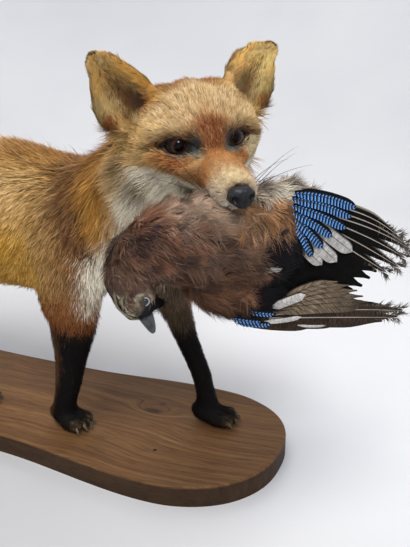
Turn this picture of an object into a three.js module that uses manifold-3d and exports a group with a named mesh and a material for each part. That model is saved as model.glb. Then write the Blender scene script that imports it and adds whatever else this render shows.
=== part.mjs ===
// A mounted red fox, life size, walking with a jay in its jaws on an oak board.
// Millimetres. +X is the way the fox walks, +Y is its left, +Z is up.
// The origin is the middle of the board's underside.
// Every form reaches out to the tips of the coat or the feathers.
import * as THREE from "three";
import { mergeVertices } from "three/addons/utils/BufferGeometryUtils.js";
import Module from "manifold-3d";

const wasm = await Module();
wasm.setup();

// ---- driving dimensions ----
const gap = 0.3; // between neighbouring pieces

const board = {
  length: 784,
  thickness: 23,
  waist: 96, // half width in the middle
  swell: 14, // how much wider it gets towards each end
  swellAt: 260,
  swellSpread: 105,
  endDepth: 102, // length of each rounded end
  endFullness: 2.35, // 2 would make the ends ellipses
  softEdge: 2.5,
  outlineSteps: 17, // along each long side
};

const trunkY = -10; // the body's middle plane
const chestBottom = 172; // the level at which the legs leave the trunk
const wristLevel = 66; // the level at which the feet leave the legs
const hockLevel = 124;
const shankTop = 182;

const headPlace = { x: 351, y: -106, z: 359 }; // midway between the eyes
const headTurn = { yaw: -48.2, pitch: 5, roll: 7 }; // degrees

const eye = { x: -10.2, side: 23.3, z: 0, radius: 11.2, sides: 10, rings: 7 };
// A foot's measures run forwards from under the leg: the toes spread out a little as they go.
const toe = { count: 4, spacing: 8.6, middleReach: 5, from: 4, pad: 20, end: 26, level: 10, sides: 6 };
const toeSpread = { atLeg: 0.875, perMm: 0.0068 };
const claw = { length: 9.5, drop: 6.2, root: 2.4, tip: 0.7, level: 8 };

const rightFore = { x: 146, y: -45, heading: -9 };
const leftFore = { x: 298, y: 27, heading: 4 };
const rightHind = { x: 6, y: -43, heading: -5 };
const leftHind = { x: -226, y: 35, heading: 6 };

const tailCuts = { base: -212, middle: -330, tip: -462, lowest: 200 };
const trunkCuts = { chest: 62, rump: -82 };
const neckCut = { x: 215, z: 265, slope: -32, depth: 60 };
const headCuts = { muzzle: 18, lip: -46, jaw: -54, jawBack: -22, nape: -62 };
const earCut = { level: 53.5, slope: 38, back: -90 }; // on a slope that falls outwards
const legCuts = {
  right: { foreX: [62, 230], hindX: [-130, 62], inner: -12 },
  left: { foreX: [150, 400], hindX: [-290, -60], inner: -8 },
};
// The flank pieces are cut off by upright planes: from and to along the body, and how far out.
const flankCuts = {
  shoulder_right: { from: 90, to: 222, out: -54, low: 176, high: 320 },
  shoulder_left: { from: 110, to: 262, out: 34, low: 176, high: 320 },
  thigh_right: { from: -200, to: -20, out: -52, low: 180, high: 330 },
  thigh_left: { from: -206, to: -60, out: 32, low: 180, high: 330 },
};
const farAway = 1000; // further than any piece reaches

// ---- finishes ----
function finish(color, roughness, metalness = 0) {
  return { color, roughness, metalness };
}
const russetFur = finish(0xa9683a, 0.9);
const forehead = finish(0xb98f5f, 0.9);
const paleFur = finish(0xcfc6b4, 0.9);
const blackFur = finish(0x2f2621, 0.85);
const hornClaw = finish(0x6d6357, 0.45);
const noseSkin = finish(0x1c1b1d, 0.35);
const glassEye = finish(0x2a1a10, 0.05);
const oak = finish(0x74543a, 0.6);
const jayPlumage = finish(0x8d6f60, 0.85);

// ---- forms ----
const xAxis = new THREE.Vector3(1, 0, 0);
const yAxis = new THREE.Vector3(0, 1, 0);

function solidOf(geometry) {
  const bare = geometry.clone();
  bare.deleteAttribute("normal");
  bare.deleteAttribute("uv");
  const merged = mergeVertices(bare, 1e-3);
  return new wasm.Manifold(
    new wasm.Mesh({
      numProp: 3,
      vertProperties: new Float32Array(merged.getAttribute("position").array),
      triVerts: new Uint32Array(merged.index.array),
    }),
  );
}

function geometryOf(solid) {
  const mesh = solid.getMesh();
  const geometry = new THREE.BufferGeometry();
  geometry.setAttribute("position", new THREE.BufferAttribute(mesh.vertProperties, 3));
  geometry.setIndex(new THREE.BufferAttribute(mesh.triVerts, 1));
  return geometry;
}

// One ring of a swept form: its centre, and how far the form reaches from there to each side, up and down.
function ring(x, y, z, wide, up, down = up) {
  return { centre: new THREE.Vector3(x, y, z), reach: new THREE.Vector3(wide, up, down) };
}

// A closed form through a line of rings. wideAxis is the direction of each ring's width,
// and "up" is the line's direction crossed with it: upwards on a line that runs forwards,
// and forwards on a line that runs down.
function sweep(rings, { wideAxis = yAxis, sides = 12, steps = 2, grow = 0, frame } = {}) {
  const line = new THREE.CatmullRomCurve3(rings.map((each) => each.centre));
  const sizes = new THREE.CatmullRomCurve3(rings.map((each) => each.reach));
  const tube = new THREE.CylinderGeometry(1, 1, 1, sides, steps * (rings.length - 1));
  const corners = tube.getAttribute("position");
  for (let i = 0; i < corners.count; i++) {
    const along = corners.getY(i) + 0.5;
    const tangent = line.getTangent(along);
    const across = wideAxis.clone().addScaledVector(tangent, -wideAxis.dot(tangent)).normalize();
    const upward = tangent.clone().cross(across);
    const size = sizes.getPoint(along);
    const height = -corners.getZ(i);
    const point = line.getPoint(along);
    point.addScaledVector(across, corners.getX(i) * (size.x + grow));
    point.addScaledVector(upward, height * ((height > 0 ? size.y : size.z) + grow));
    point.addScaledVector(tangent, (2 * along - 1) * grow);
    corners.setXYZ(i, point.x, point.y, point.z);
  }
  if (frame) tube.applyMatrix4(frame);
  return solidOf(tube);
}

// A box from its lowest to its highest corner, in the frame given.
function block(low, high, frame, grow = 0) {
  const size = high.clone().sub(low).addScalar(2 * grow);
  const box = new THREE.BoxGeometry(size.x, size.y, size.z);
  const middle = low.clone().add(high).multiplyScalar(0.5);
  box.translate(middle.x, middle.y, middle.z);
  if (frame) box.applyMatrix4(frame);
  return solidOf(box);
}

function joined(solids) {
  return solids.reduce((whole, each) => whole.add(each));
}

function largest(solid) {
  return solid.decompose().reduce((best, each) => (each.volume() > best.volume() ? each : best));
}

function mirroredRings(rings) {
  return rings.map(({ centre, reach }) => ring(centre.x, -centre.y, centre.z, reach.x, reach.y, reach.z));
}

// ---- the scene graph ----
const model = new THREE.Group();
const head = new THREE.Group();
head.position.set(headPlace.x, headPlace.y, headPlace.z);
const rad = THREE.MathUtils.degToRad;
head.rotation.set(rad(headTurn.roll), rad(headTurn.pitch), rad(headTurn.yaw), "ZYX");
model.add(head);
model.updateMatrixWorld(true);
const headFrame = head.matrixWorld;

// Puts a solid, given in world space, into a group as a named mesh.
function place(group, name, solid, look) {
  const geometry = geometryOf(solid);
  geometry.applyMatrix4(group.matrixWorld.clone().invert());
  const mesh = new THREE.Mesh(geometry, new THREE.MeshStandardMaterial(look));
  mesh.name = name;
  group.add(mesh);
}

// ---- the oak board ----
function boardHalfWidth(x) {
  const spread = (Math.abs(x) - board.swellAt) / board.swellSpread;
  const side = board.waist + board.swell * Math.exp(-spread * spread);
  const intoEnd = Math.max(0, Math.abs(x) - (board.length / 2 - board.endDepth)) / board.endDepth;
  return side * Math.max(0, 1 - intoEnd ** board.endFullness) ** (1 / board.endFullness);
}

function oakBoard() {
  const half = board.length / 2 - board.softEdge;
  const outline = new THREE.Shape();
  outline.moveTo(half, 0);
  for (let i = 1; i < 2 * board.outlineSteps; i++) {
    const angle = (Math.PI * i) / board.outlineSteps;
    const x = half * Math.cos(angle);
    const side = i === board.outlineSteps ? 0 : Math.sign(Math.sin(angle));
    outline.lineTo(x, side * (boardHalfWidth(x) - board.softEdge));
  }
  outline.closePath();
  const slab = new THREE.ExtrudeGeometry(outline, {
    depth: board.thickness - 2 * board.softEdge,
    bevelThickness: board.softEdge,
    bevelSize: board.softEdge,
    bevelSegments: 1,
  });
  slab.translate(0, 0, board.softEdge);
  return solidOf(slab);
}

// ---- the fox's body, in world space ----
const trunkRings = [
  ring(-222, trunkY, 272, 22, 24, 30),
  ring(-196, trunkY, 268, 56, 60, 62),
  ring(-140, trunkY, 264, 68, 76, 72),
  ring(-60, trunkY, 264, 64, 80, 76),
  ring(20, trunkY, 266, 66, 86, 84),
  ring(72, trunkY, 264, 71, 92, 90),
  ring(130, trunkY, 258, 72, 86, 86),
  ring(182, trunkY, 254, 67, 80, 76),
  ring(224, trunkY - 2, 256, 56, 64, 60),
  ring(250, trunkY - 4, 260, 30, 34, 34),
];

const neckRings = [
  ring(140, -10, 268, 62, 58, 66),
  ring(200, -18, 284, 66, 60, 74),
  ring(250, -34, 308, 68, 58, 72),
  ring(292, -58, 334, 66, 54, 66),
  ring(322, -82, 350, 50, 42, 50),
];

const tailRings = [
  ring(-566, 12, 158, 5, 5),
  ring(-545, 11, 165, 22, 22),
  ring(-500, 9, 181, 40, 41),
  ring(-440, 5, 206, 47, 48),
  ring(-370, 0, 236, 46, 46),
  ring(-300, -5, 264, 38, 38),
  ring(-240, -9, 284, 28, 29),
  ring(-190, -10, 292, 25, 28),
];

// Each leg runs down from the top of its shoulder or thigh: wide is sideways, then forwards, then backwards.
const legRings = {
  foreRight: [
    ring(138, -34, 318, 20, 30, 30),
    ring(156, -46, 268, 34, 48, 48),
    ring(168, -51, 220, 34, 50, 46),
    ring(164, -50, 180, 29, 39, 39),
    ring(164, -48, 150, 23, 31, 31),
    ring(158, -47, 112, 16, 22, 23),
    ring(150, -46, 72, 14.5, 17, 17),
    ring(143, -46, 46, 14, 14, 15),
    ring(142, -46, 30, 12, 12, 12),
  ],
  foreLeft: [
    ring(168, 16, 316, 20, 30, 30),
    ring(190, 27, 268, 34, 46, 46),
    ring(214, 30, 224, 33, 40, 44),
    ring(240, 28, 188, 26, 28, 31),
    ring(256, 25, 160, 19, 19, 21),
    ring(270, 24, 124, 14.5, 14, 16),
    ring(287, 25, 84, 13.5, 12.5, 13.5),
    ring(294, 27, 50, 13.5, 13, 14),
    ring(293, 27, 30, 12, 12, 12),
  ],
  hindRight: [
    ring(-146, -30, 312, 24, 40, 36),
    ring(-128, -46, 278, 34, 60, 58),
    ring(-92, -54, 240, 35, 58, 60),
    ring(-56, -55, 206, 30, 40, 46),
    ring(-50, -51, 176, 22, 27, 32),
    ring(-60, -46, 146, 15, 18, 21),
    ring(-68, -44, 118, 12, 13, 17),
    ring(-50, -44, 88, 10.5, 12, 13),
    ring(-26, -43, 58, 11.5, 12, 12),
    ring(-9, -43, 36, 12, 12, 12),
  ],
  hindLeft: [
    ring(-150, 10, 312, 24, 40, 36),
    ring(-140, 26, 278, 34, 56, 56),
    ring(-128, 34, 240, 35, 56, 52),
    ring(-130, 36, 206, 30, 42, 40),
    ring(-150, 36, 178, 22, 28, 28),
    ring(-184, 36, 152, 15, 20, 19),
    ring(-216, 35, 130, 12, 14, 17),
    ring(-230, 35, 98, 10.5, 11.5, 12.5),
    ring(-238, 35, 62, 11.5, 11.5, 12),
    ring(-241, 35, 34, 12, 12, 12),
  ],
};

// ---- the head, in its own frame: +X along the muzzle, +Y to its left ----
const skullRings = [
  ring(-92, 0, -8, 30, 28, 32),
  ring(-70, 0, -4, 52, 46, 52),
  ring(-44, 0, -4, 60, 52, 58),
  ring(-19, 0, -6, 55, 48, 52),
  ring(-2, 0, -12, 39, 34, 38),
  ring(12, 0, -19, 25, 20, 23),
  ring(24, 0, -23, 14, 10, 12),
];

const muzzleRings = [
  ring(-10, 0, -18, 11, 16, 22),
  ring(10, 0, -19, 15, 19, 22),
  ring(28, 0, -20.5, 18, 17.5, 20.5),
  ring(46, 0, -24, 18.5, 16, 17.5),
  ring(60, 0, -27, 17, 14, 14),
  ring(69, 0, -29, 9, 8, 8.5),
];

const jawRings = [
  ring(-34, 0, -42, 34, 14, 20),
  ring(-6, 0, -57, 27, 12, 15),
  ring(20, 0, -71, 18.5, 9, 12),
  ring(40, 0, -81, 14, 7.5, 9.5),
  ring(51, 0, -86, 7, 4.5, 5.5),
];

const leftCheekRings = [
  ring(-90, 38, -34, 14, 18, 22),
  ring(-64, 40, -32, 23, 32, 38),
  ring(-34, 30, -28, 20, 28, 36),
  ring(-8, 20, -28, 13, 14, 20),
];

// The ear stands on its root line and leans outwards and back; its width lies across the opening.
const earRoot = new THREE.Vector3(-46, 52, 27.5);
const earUp = new THREE.Vector3(0.14, 0.415, 0.9);
const earWide = new THREE.Vector3(-0.33, 0.876, -0.35);
const earFace = new THREE.Vector3(0.93, 0.25, -0.26); // the way its opening looks

function earRing(side, rise, wide, thick, outward, forward = 0) {
  const centre = earRoot.clone().addScaledVector(earUp, rise);
  centre.addScaledVector(earWide, outward).addScaledVector(earFace, forward);
  return ring(centre.x, side * centre.y, centre.z, wide, thick);
}

const noseRings = [
  ring(60, 0, -28, 7, 6),
  ring(67, 0, -28.5, 10.8, 9, 9.5),
  ring(73, 0, -28.5, 10.5, 8.2, 9),
  ring(77, 0, -28.5, 6.5, 4.6, 5.5),
];

function inHead(rings, options = {}) {
  return sweep(rings, { ...options, frame: headFrame });
}

function headFlesh(grow = 0) {
  return joined([
    inHead(skullRings, { grow }),
    inHead(muzzleRings, { steps: 1, grow }),
    inHead(jawRings, { sides: 8, steps: 1, grow }),
    inHead(leftCheekRings, { sides: 8, steps: 1, grow }),
    inHead(mirroredRings(leftCheekRings), { sides: 8, steps: 1, grow }),
  ]);
}

function ear(side) {
  const wideAxis = earWide.clone();
  wideAxis.y *= side;
  const leaf = [
    earRing(side, -24, 25, 11, 0),
    earRing(side, -6, 29.5, 13, 0),
    earRing(side, 12, 28.5, 12, 0),
    earRing(side, 27, 22.5, 9, 0.5),
    earRing(side, 40, 15, 6, 1.5),
    earRing(side, 49, 8.5, 3.2, 4),
    earRing(side, 53, 4, 1.6, 4.5),
  ];
  const hollow = [
    earRing(side, -14, 10, 5, 0, 8),
    earRing(side, -2, 21, 9, 0, 10),
    earRing(side, 13, 23, 10, 0, 10),
    earRing(side, 28, 17.5, 7.5, 0.5, 8),
    earRing(side, 40, 10.5, 5, 1.5, 5.5),
    earRing(side, 47, 4.5, 2.5, 3.5, 3.5),
  ];
  return inHead(leaf, { wideAxis, steps: 1 }).subtract(inHead(hollow, { wideAxis, sides: 8, steps: 1 }));
}

// The socket is an almond-shaped opening in the coat, along the way the eye looks.
const lookOut = new THREE.Vector3(0.87, 0.48, 0.05).normalize();
const lidSlant = new THREE.Vector3(-0.6, 0.78, 0.15);

function eyeBall(side, grow = 0) {
  const ball = new THREE.SphereGeometry(eye.radius + grow, eye.sides, eye.rings);
  ball.translate(eye.x, side * eye.side, eye.z);
  ball.applyMatrix4(headFrame);
  return solidOf(ball);
}

function eyeSocket(side) {
  const out = (distance, wide, high) =>
    ring(
      eye.x + lookOut.x * distance,
      side * (eye.side + lookOut.y * distance),
      eye.z + lookOut.z * distance,
      wide,
      high,
    );
  const opening = [out(3, 9, 6.5), out(9, 13, 7.5), out(15, 15, 8.5), out(30, 21, 12)];
  const wideAxis = new THREE.Vector3(lidSlant.x, side * lidSlant.y, lidSlant.z);
  return inHead(opening, { wideAxis, sides: 8, steps: 1 }).add(eyeBall(side, gap));
}

// ---- feet: each in its own frame, +X towards the toes, on the board ----
const footRings = [
  ring(-22, 0, 12, 8, 8, 8),
  ring(-14, 0, 15, 13, 14, 14),
  ring(-2, 0, 15, 17, 14, 15),
  ring(10, 0, 11, 16, 9, 11),
];

function spreadAt(offset, x) {
  return offset * (toeSpread.atLeg + toeSpread.perMm * x);
}

function toeRings(offset, reach) {
  const toeRing = (x, level, ...size) => ring(x, spreadAt(offset, x), level, ...size);
  return [
    toeRing(toe.from, toe.level + 1, 6, 8, 10),
    toeRing(toe.pad + reach, toe.level, 5.6, 7, 9),
    toeRing(toe.end + reach, claw.level, 2.6, 3, 4),
  ];
}

function clawRings(offset, reach) {
  const root = toe.end + reach + 3 * gap;
  const tip = root + claw.length;
  return [
    ring(root, spreadAt(offset, root), claw.level, claw.root, claw.root),
    ring(tip, spreadAt(offset, tip), claw.level - claw.drop, claw.tip, claw.tip),
  ];
}

function toes() {
  return Array.from({ length: toe.count }, (_, i) => {
    const place = i - (toe.count - 1) / 2;
    return { offset: place * toe.spacing, reach: Math.abs(place) < 1 ? toe.middleReach : 0 };
  });
}

function footFrame(foot) {
  const turn = new THREE.Matrix4().makeRotationZ(rad(foot.heading));
  return new THREE.Matrix4().makeTranslation(foot.x, foot.y, board.thickness).multiply(turn);
}

function footFlesh(foot) {
  const frame = footFrame(foot);
  const shape = { sides: toe.sides, steps: 1, frame };
  const toeSolids = toes().map(({ offset, reach }) => sweep(toeRings(offset, reach), shape));
  return joined([sweep(footRings, { sides: 8, steps: 1, frame }), ...toeSolids]);
}

function footClaws(foot) {
  const frame = footFrame(foot);
  const shape = { sides: toe.sides, steps: 1, frame };
  return toes().map(({ offset, reach }) => sweep(clawRings(offset, reach), shape));
}

// ---- the jay, in the head's frame: its lines run from its tail to its beak ----
const jayBodyRings = [
  ring(46, 80, -60, 8, 14, 14),
  ring(45, 60, -68, 20, 38, 34),
  ring(44, 28, -82, 28, 36, 46),
  ring(43, -8, -78, 31, 40, 52),
  ring(45, -44, -66, 31, 38, 40),
  ring(54, -76, -66, 29, 32, 30),
  ring(62, -93, -72, 22, 22, 24),
];
const jayHeadRings = [
  ring(60, -84, -62, 20, 18, 18),
  ring(67, -93, -78, 18, 19, 17),
  ring(71, -90, -94, 13, 14, 13),
  ring(72, -86, -104, 6, 7, 6),
];
const jayBeakRings = [
  ring(71.5, -87, -99, 5, 6, 6),
  ring(72, -82, -112, 3.4, 4, 4),
  ring(73, -77, -124, 0.8, 0.9, 0.9),
];
const nearWingRings = [
  ring(66, 147, -109, 2.5, 8, 12),
  ring(66, 120, -100, 4, 22, 26),
  ring(65, 84, -86, 6, 34, 36),
  ring(63, 56, -74, 9, 32, 38),
  ring(58, 22, -70, 10, 24, 26),
];
const farWingAndTailRings = [
  ring(66, 148, -166, 3, 4, 6),
  ring(65, 126, -160, 4, 13, 13),
  ring(62, 90, -142, 6, 22, 18),
  ring(60, 50, -130, 9, 26, 24),
  ring(56, 10, -122, 13, 24, 27),
  ring(50, -22, -104, 14, 20, 27),
];

function jay() {
  const lying = { wideAxis: xAxis, sides: 8, steps: 1 };
  const bird = joined([
    inHead(jayBodyRings, { ...lying, sides: 10 }),
    inHead(jayHeadRings, lying),
    inHead(jayBeakRings, { ...lying, sides: 6 }),
    inHead(nearWingRings, lying),
    inHead(farWingAndTailRings, lying),
  ]);
  return largest(bird.subtract(headFlesh(gap)).subtract(noseRoom));
}

// ---- the whole body, parted with thin cuts ----
const aboveBoard = block(
  new THREE.Vector3(-farAway, -farAway, board.thickness + gap),
  new THREE.Vector3(farAway, farAway, farAway),
);

function wholeBody() {
  const feet = [rightFore, leftFore, rightHind, leftHind].map(footFlesh);
  const legs = Object.values(legRings).map((rings) => sweep(rings, { sides: 9, steps: 1 }));
  return joined([
    sweep(trunkRings, { sides: 14, steps: 1 }),
    sweep(neckRings, { sides: 10 }),
    sweep(tailRings, { sides: 10 }),
    headFlesh(),
    ear(1),
    ear(-1),
    ...legs,
    ...feet,
  ]).intersect(aboveBoard);
}

const noseShape = { sides: 10, steps: 1 };
const noseSolid = inHead(noseRings, noseShape);
const noseRoom = inHead(noseRings, { ...noseShape, grow: gap });

let rest = wholeBody();
const eyes = { eye_left: eyeBall(1), eye_right: eyeBall(-1) };
rest = rest.subtract(eyeSocket(1)).subtract(eyeSocket(-1));
rest = rest.subtract(noseRoom);

// Takes out of the body what lies between two corners, and leaves a thin gap round it.
function part(group, name, low, high, look, frame) {
  const lowest = new THREE.Vector3(...low);
  const highest = new THREE.Vector3(...high);
  place(group, name, largest(rest.intersect(block(lowest, highest, frame))), look);
  rest = rest.subtract(block(lowest, highest, frame, gap));
}

function partHead() {
  const f = farAway / 4;
  for (const [name, side] of [["ear_left", 1], ["ear_right", -1]]) {
    const slope = new THREE.Matrix4().makeRotationX(-side * rad(earCut.slope));
    const frame = headFrame.clone().multiply(slope);
    part(head, name, [earCut.back, -f, earCut.level], [f, f, f], russetFur, frame);
  }
  part(head, "muzzle", [headCuts.muzzle, -f, headCuts.lip], [f, f, f], paleFur, headFrame);
  part(head, "lower_jaw", [headCuts.jawBack, -f, -f], [f, f, headCuts.jaw], paleFur, headFrame);
  part(head, "head", [headCuts.nape, -f, -f], [f, f, f], forehead, headFrame);
}

function partLegs() {
  for (const [side, { foreX, hindX, inner }] of Object.entries(legCuts)) {
    const [y0, y1] = side === "right" ? [-farAway, inner] : [inner, farAway];
    const piece = (name, [x0, x1], low, high, look) =>
      part(model, name + "_" + side, [x0, y0, low], [x1, y1, high], look);
    piece("fore_paw", foreX, 0, wristLevel, blackFur);
    piece("foreleg", foreX, wristLevel, chestBottom, blackFur);
    piece("hind_paw", hindX, 0, wristLevel, blackFur);
    piece("hock", hindX, wristLevel, hockLevel, blackFur);
    piece("shank", hindX, hockLevel, shankTop, russetFur);
  }
}

function partFlanks() {
  for (const [name, { from, to, out, low, high }] of Object.entries(flankCuts)) {
    const [y0, y1] = out < 0 ? [-farAway, out] : [out, farAway];
    part(model, name, [from, y0, low], [to, y1, high], russetFur);
  }
}

function partTail() {
  const f = farAway;
  part(model, "tail_tip", [-f, -f, 0], [tailCuts.tip, f, f], paleFur);
  part(model, "tail_middle", [-f, -f, 0], [tailCuts.middle, f, f], russetFur);
  part(model, "tail_base", [-f, -f, tailCuts.lowest], [tailCuts.base, f, f], russetFur);
}

function partTrunk() {
  const f = farAway;
  const slope = new THREE.Matrix4().makeRotationY(rad(neckCut.slope));
  const neckFrame = new THREE.Matrix4().makeTranslation(neckCut.x, 0, neckCut.z).multiply(slope);
  part(model, "neck", [0, -f, -neckCut.depth], [f, f, f], russetFur, neckFrame);
  part(model, "rump", [-f, -f, 0], [trunkCuts.rump, f, f], russetFur);
  part(model, "chest", [trunkCuts.chest, -f, 0], [f, f, f], russetFur);
  place(model, "belly", largest(rest), russetFur);
}

partHead();
partTail();
partLegs();
partFlanks();
partTrunk();

for (const [name, ball] of Object.entries(eyes)) place(head, name, ball, glassEye);
place(head, "nose", noseSolid, noseSkin);
place(head, "jay", jay(), jayPlumage);
place(model, "base_board", oakBoard(), oak);

const claws = { fore_right: rightFore, fore_left: leftFore, hind_right: rightHind, hind_left: leftHind };
for (const [name, foot] of Object.entries(claws)) {
  footClaws(foot).forEach((each, i) => place(model, "claw_" + name + "_" + (i + 1), each, hornClaw));
}

export default model;
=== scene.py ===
import math
import bmesh
import bpy
import numpy as np
from mathutils import Matrix, Vector
from mathutils.bvhtree import BVHTree


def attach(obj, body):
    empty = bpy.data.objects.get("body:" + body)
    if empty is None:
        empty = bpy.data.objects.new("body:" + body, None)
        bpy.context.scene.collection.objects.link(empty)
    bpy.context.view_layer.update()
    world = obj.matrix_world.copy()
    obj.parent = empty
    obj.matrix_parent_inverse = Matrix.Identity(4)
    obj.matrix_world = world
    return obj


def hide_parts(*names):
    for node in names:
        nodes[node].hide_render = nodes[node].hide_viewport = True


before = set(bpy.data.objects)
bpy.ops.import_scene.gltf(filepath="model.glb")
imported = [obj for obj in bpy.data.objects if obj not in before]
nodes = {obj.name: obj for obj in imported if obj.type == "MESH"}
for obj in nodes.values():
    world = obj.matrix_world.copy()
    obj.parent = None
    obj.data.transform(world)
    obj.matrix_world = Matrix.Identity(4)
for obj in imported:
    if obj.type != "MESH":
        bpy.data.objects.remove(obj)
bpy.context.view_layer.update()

# A mounted red fox with a jay in its jaws, on an oak board, in the frame of the CAD model. Meshes are in
# metres; shapes, coats and markings are worked out in millimetres.
scene = bpy.context.scene
mm = 0.001
chance = np.random.default_rng(11)
detail = 1.0


# Small tools for every piece.
def linear(hexColour):
    value = int(hexColour, 16)
    channels = [(value >> shift & 255) / 255 for shift in (16, 8, 0)]
    return tuple(c / 12.92 if c <= 0.04045 else ((c + 0.055) / 1.055) ** 2.4 for c in channels) + (1.0,)


# Adds a shader node. An input is a value, a socket, or a node whose first output it takes.
def addNode(material, kind, inputs=None, **settings):
    node = material.node_tree.nodes.new("ShaderNode" + kind)
    for name, value in settings.items():
        setattr(node, name, value)
    for name, value in (inputs or {}).items():
        if isinstance(value, bpy.types.Node):
            value = value.outputs[0]
        if isinstance(value, bpy.types.NodeSocket):
            material.node_tree.links.new(value, node.inputs[name])
        else:
            node.inputs[name].default_value = value
    return node


def newMaterial(name):
    material = bpy.data.materials.new(name)
    material.use_nodes = True
    material.node_tree.nodes.clear()
    return material


def setRamp(node, stops):
    ramp = node.color_ramp
    while len(ramp.elements) < len(stops):
        ramp.elements.new(0.5)
    for element, (place, colour) in zip(ramp.elements, stops):
        element.position = place
        element.color = linear(colour)


def finishPiece(name, mesh, material, replaced=()):
    piece = bpy.data.objects.new(name, mesh)
    scene.collection.objects.link(piece)
    mesh.materials.clear()
    mesh.materials.append(material)
    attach(piece, "root")
    if replaced:
        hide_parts(*replaced)
    return piece


def smoothFaces(mesh):
    mesh.polygons.foreach_set("use_smooth", np.ones(len(mesh.polygons), bool))


def meshFromBmesh(name, bm, flat=False):
    mesh = bpy.data.meshes.new(name)
    bm.to_mesh(mesh)
    bm.free()
    if not flat:
        smoothFaces(mesh)
    return mesh


def setColours(mesh, colours):
    layer = mesh.color_attributes.new("coat", "FLOAT_COLOR", "POINT")
    layer.data.foreach_set("color", np.column_stack([colours, np.ones(len(colours))]).ravel())


def coordinates(mesh):
    values = np.empty(len(mesh.vertices) * 3)
    mesh.vertices.foreach_get("co", values)
    return values.reshape(-1, 3)


def setCoordinates(mesh, values):
    mesh.vertices.foreach_set("co", values.ravel())
    mesh.update()


def ease(low, high, value):
    share = np.clip((value - low) / (high - low), 0, 1)
    return share * share * (3 - 2 * share)


# 1 inside an ellipsoid, 0 outside it, and a soft edge between.
def blob(points, centre, radii, edge=0.35):
    far = np.linalg.norm((points - np.array(centre, float)) / np.array(radii, float), axis=1)
    return 1 - ease(1 - edge, 1 + edge, far)


def unit(vectors):
    return vectors / np.maximum(np.linalg.norm(vectors, axis=-1, keepdims=True), 1e-9)


# Both sides of a form as one: every point is taken to the left side.
def folded(points):
    return np.column_stack([points[:, 0], np.abs(points[:, 1]), points[:, 2]])


def lengthwise(vectors, normals):
    return vectors - normals * (vectors * normals).sum(1)[:, None]


def tint(hexColour):
    return np.array(linear(hexColour)[:3])


def mixed(first, second, share):
    return first + (second - first) * share


# Layers of colour, one over the other: each is its share at every point and its name in the palette.
def painted(colours, palette, layers):
    for share, name in layers:
        colours = mixed(colours, tint(palette[name]), np.clip(share, 0, 1)[:, None])
    return colours


# The head's own frame: +X along the muzzle, +Y to its left, millimetres from midway between the eyes.
head = {"place": (351, -106, 359), "yaw": -48.2, "pitch": 5, "roll": 7}
headTurn = (
    Matrix.Rotation(math.radians(head["yaw"]), 3, "Z")
    @ Matrix.Rotation(math.radians(head["pitch"]), 3, "Y")
    @ Matrix.Rotation(math.radians(head["roll"]), 3, "X")
)
headAxes = np.array(headTurn)
headPlace = np.array(head["place"], float)


def toHead(points):
    return (points - headPlace) @ headAxes


def fromHead(points):
    return points @ headAxes.T + headPlace


# The camera, the stage and the light.
view = {"place": (0.5541, -0.5778, 0.398), "turn": 23.57, "down": 16.32, "lens": 40.8}
stage = {
    "radius": 2.6, "wall": 2.2, "curve": 1.2, "curveSteps": 12, "colour": "dbdcdf", "shade": "d2d3d7",
    # Painted shade on the floor round a point by the board's left end and in front; painted light higher
    # up the wall.
    "shadeCentre": (-0.15, 0.05, 0), "floorShade": {"From Min": 0.1, "From Max": 0.6, "To Min": 0.72, "To Max": 1.0},
    "front": {"From Min": -0.35, "From Max": 0.1, "To Min": 0.66, "To Max": 1.0},
    "wallTone": {"From Min": 0.3, "From Max": 1.5, "To Min": 1.0, "To Max": 1.12},
}
light = {
    "key": {"place": (0.22, -1.3, 2.5), "size": 1.4, "power": 49, "colour": "fffaf3"},
    "fill": {"place": (1.12, -1.17, 1.31), "size": 0.35, "power": 13, "colour": "f6f9ff"},
    "back": {"place": (-0.55, 1.3, 1.9), "size": 1.4, "power": 13, "colour": "fffdf8"},
    "sky": 0.74, "skyColour": "f4f6fa", "aim": (0.15, 0, 0.2),
}


def makeCamera():
    data = bpy.data.cameras.new("camera")
    data.lens = view["lens"]
    data.clip_start = 0.02
    camera = bpy.data.objects.new("camera", data)
    scene.collection.objects.link(camera)
    camera.location = view["place"]
    camera.rotation_euler = (math.radians(90 - view["down"]), 0, math.radians(view["turn"]))
    scene.camera = camera


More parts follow.
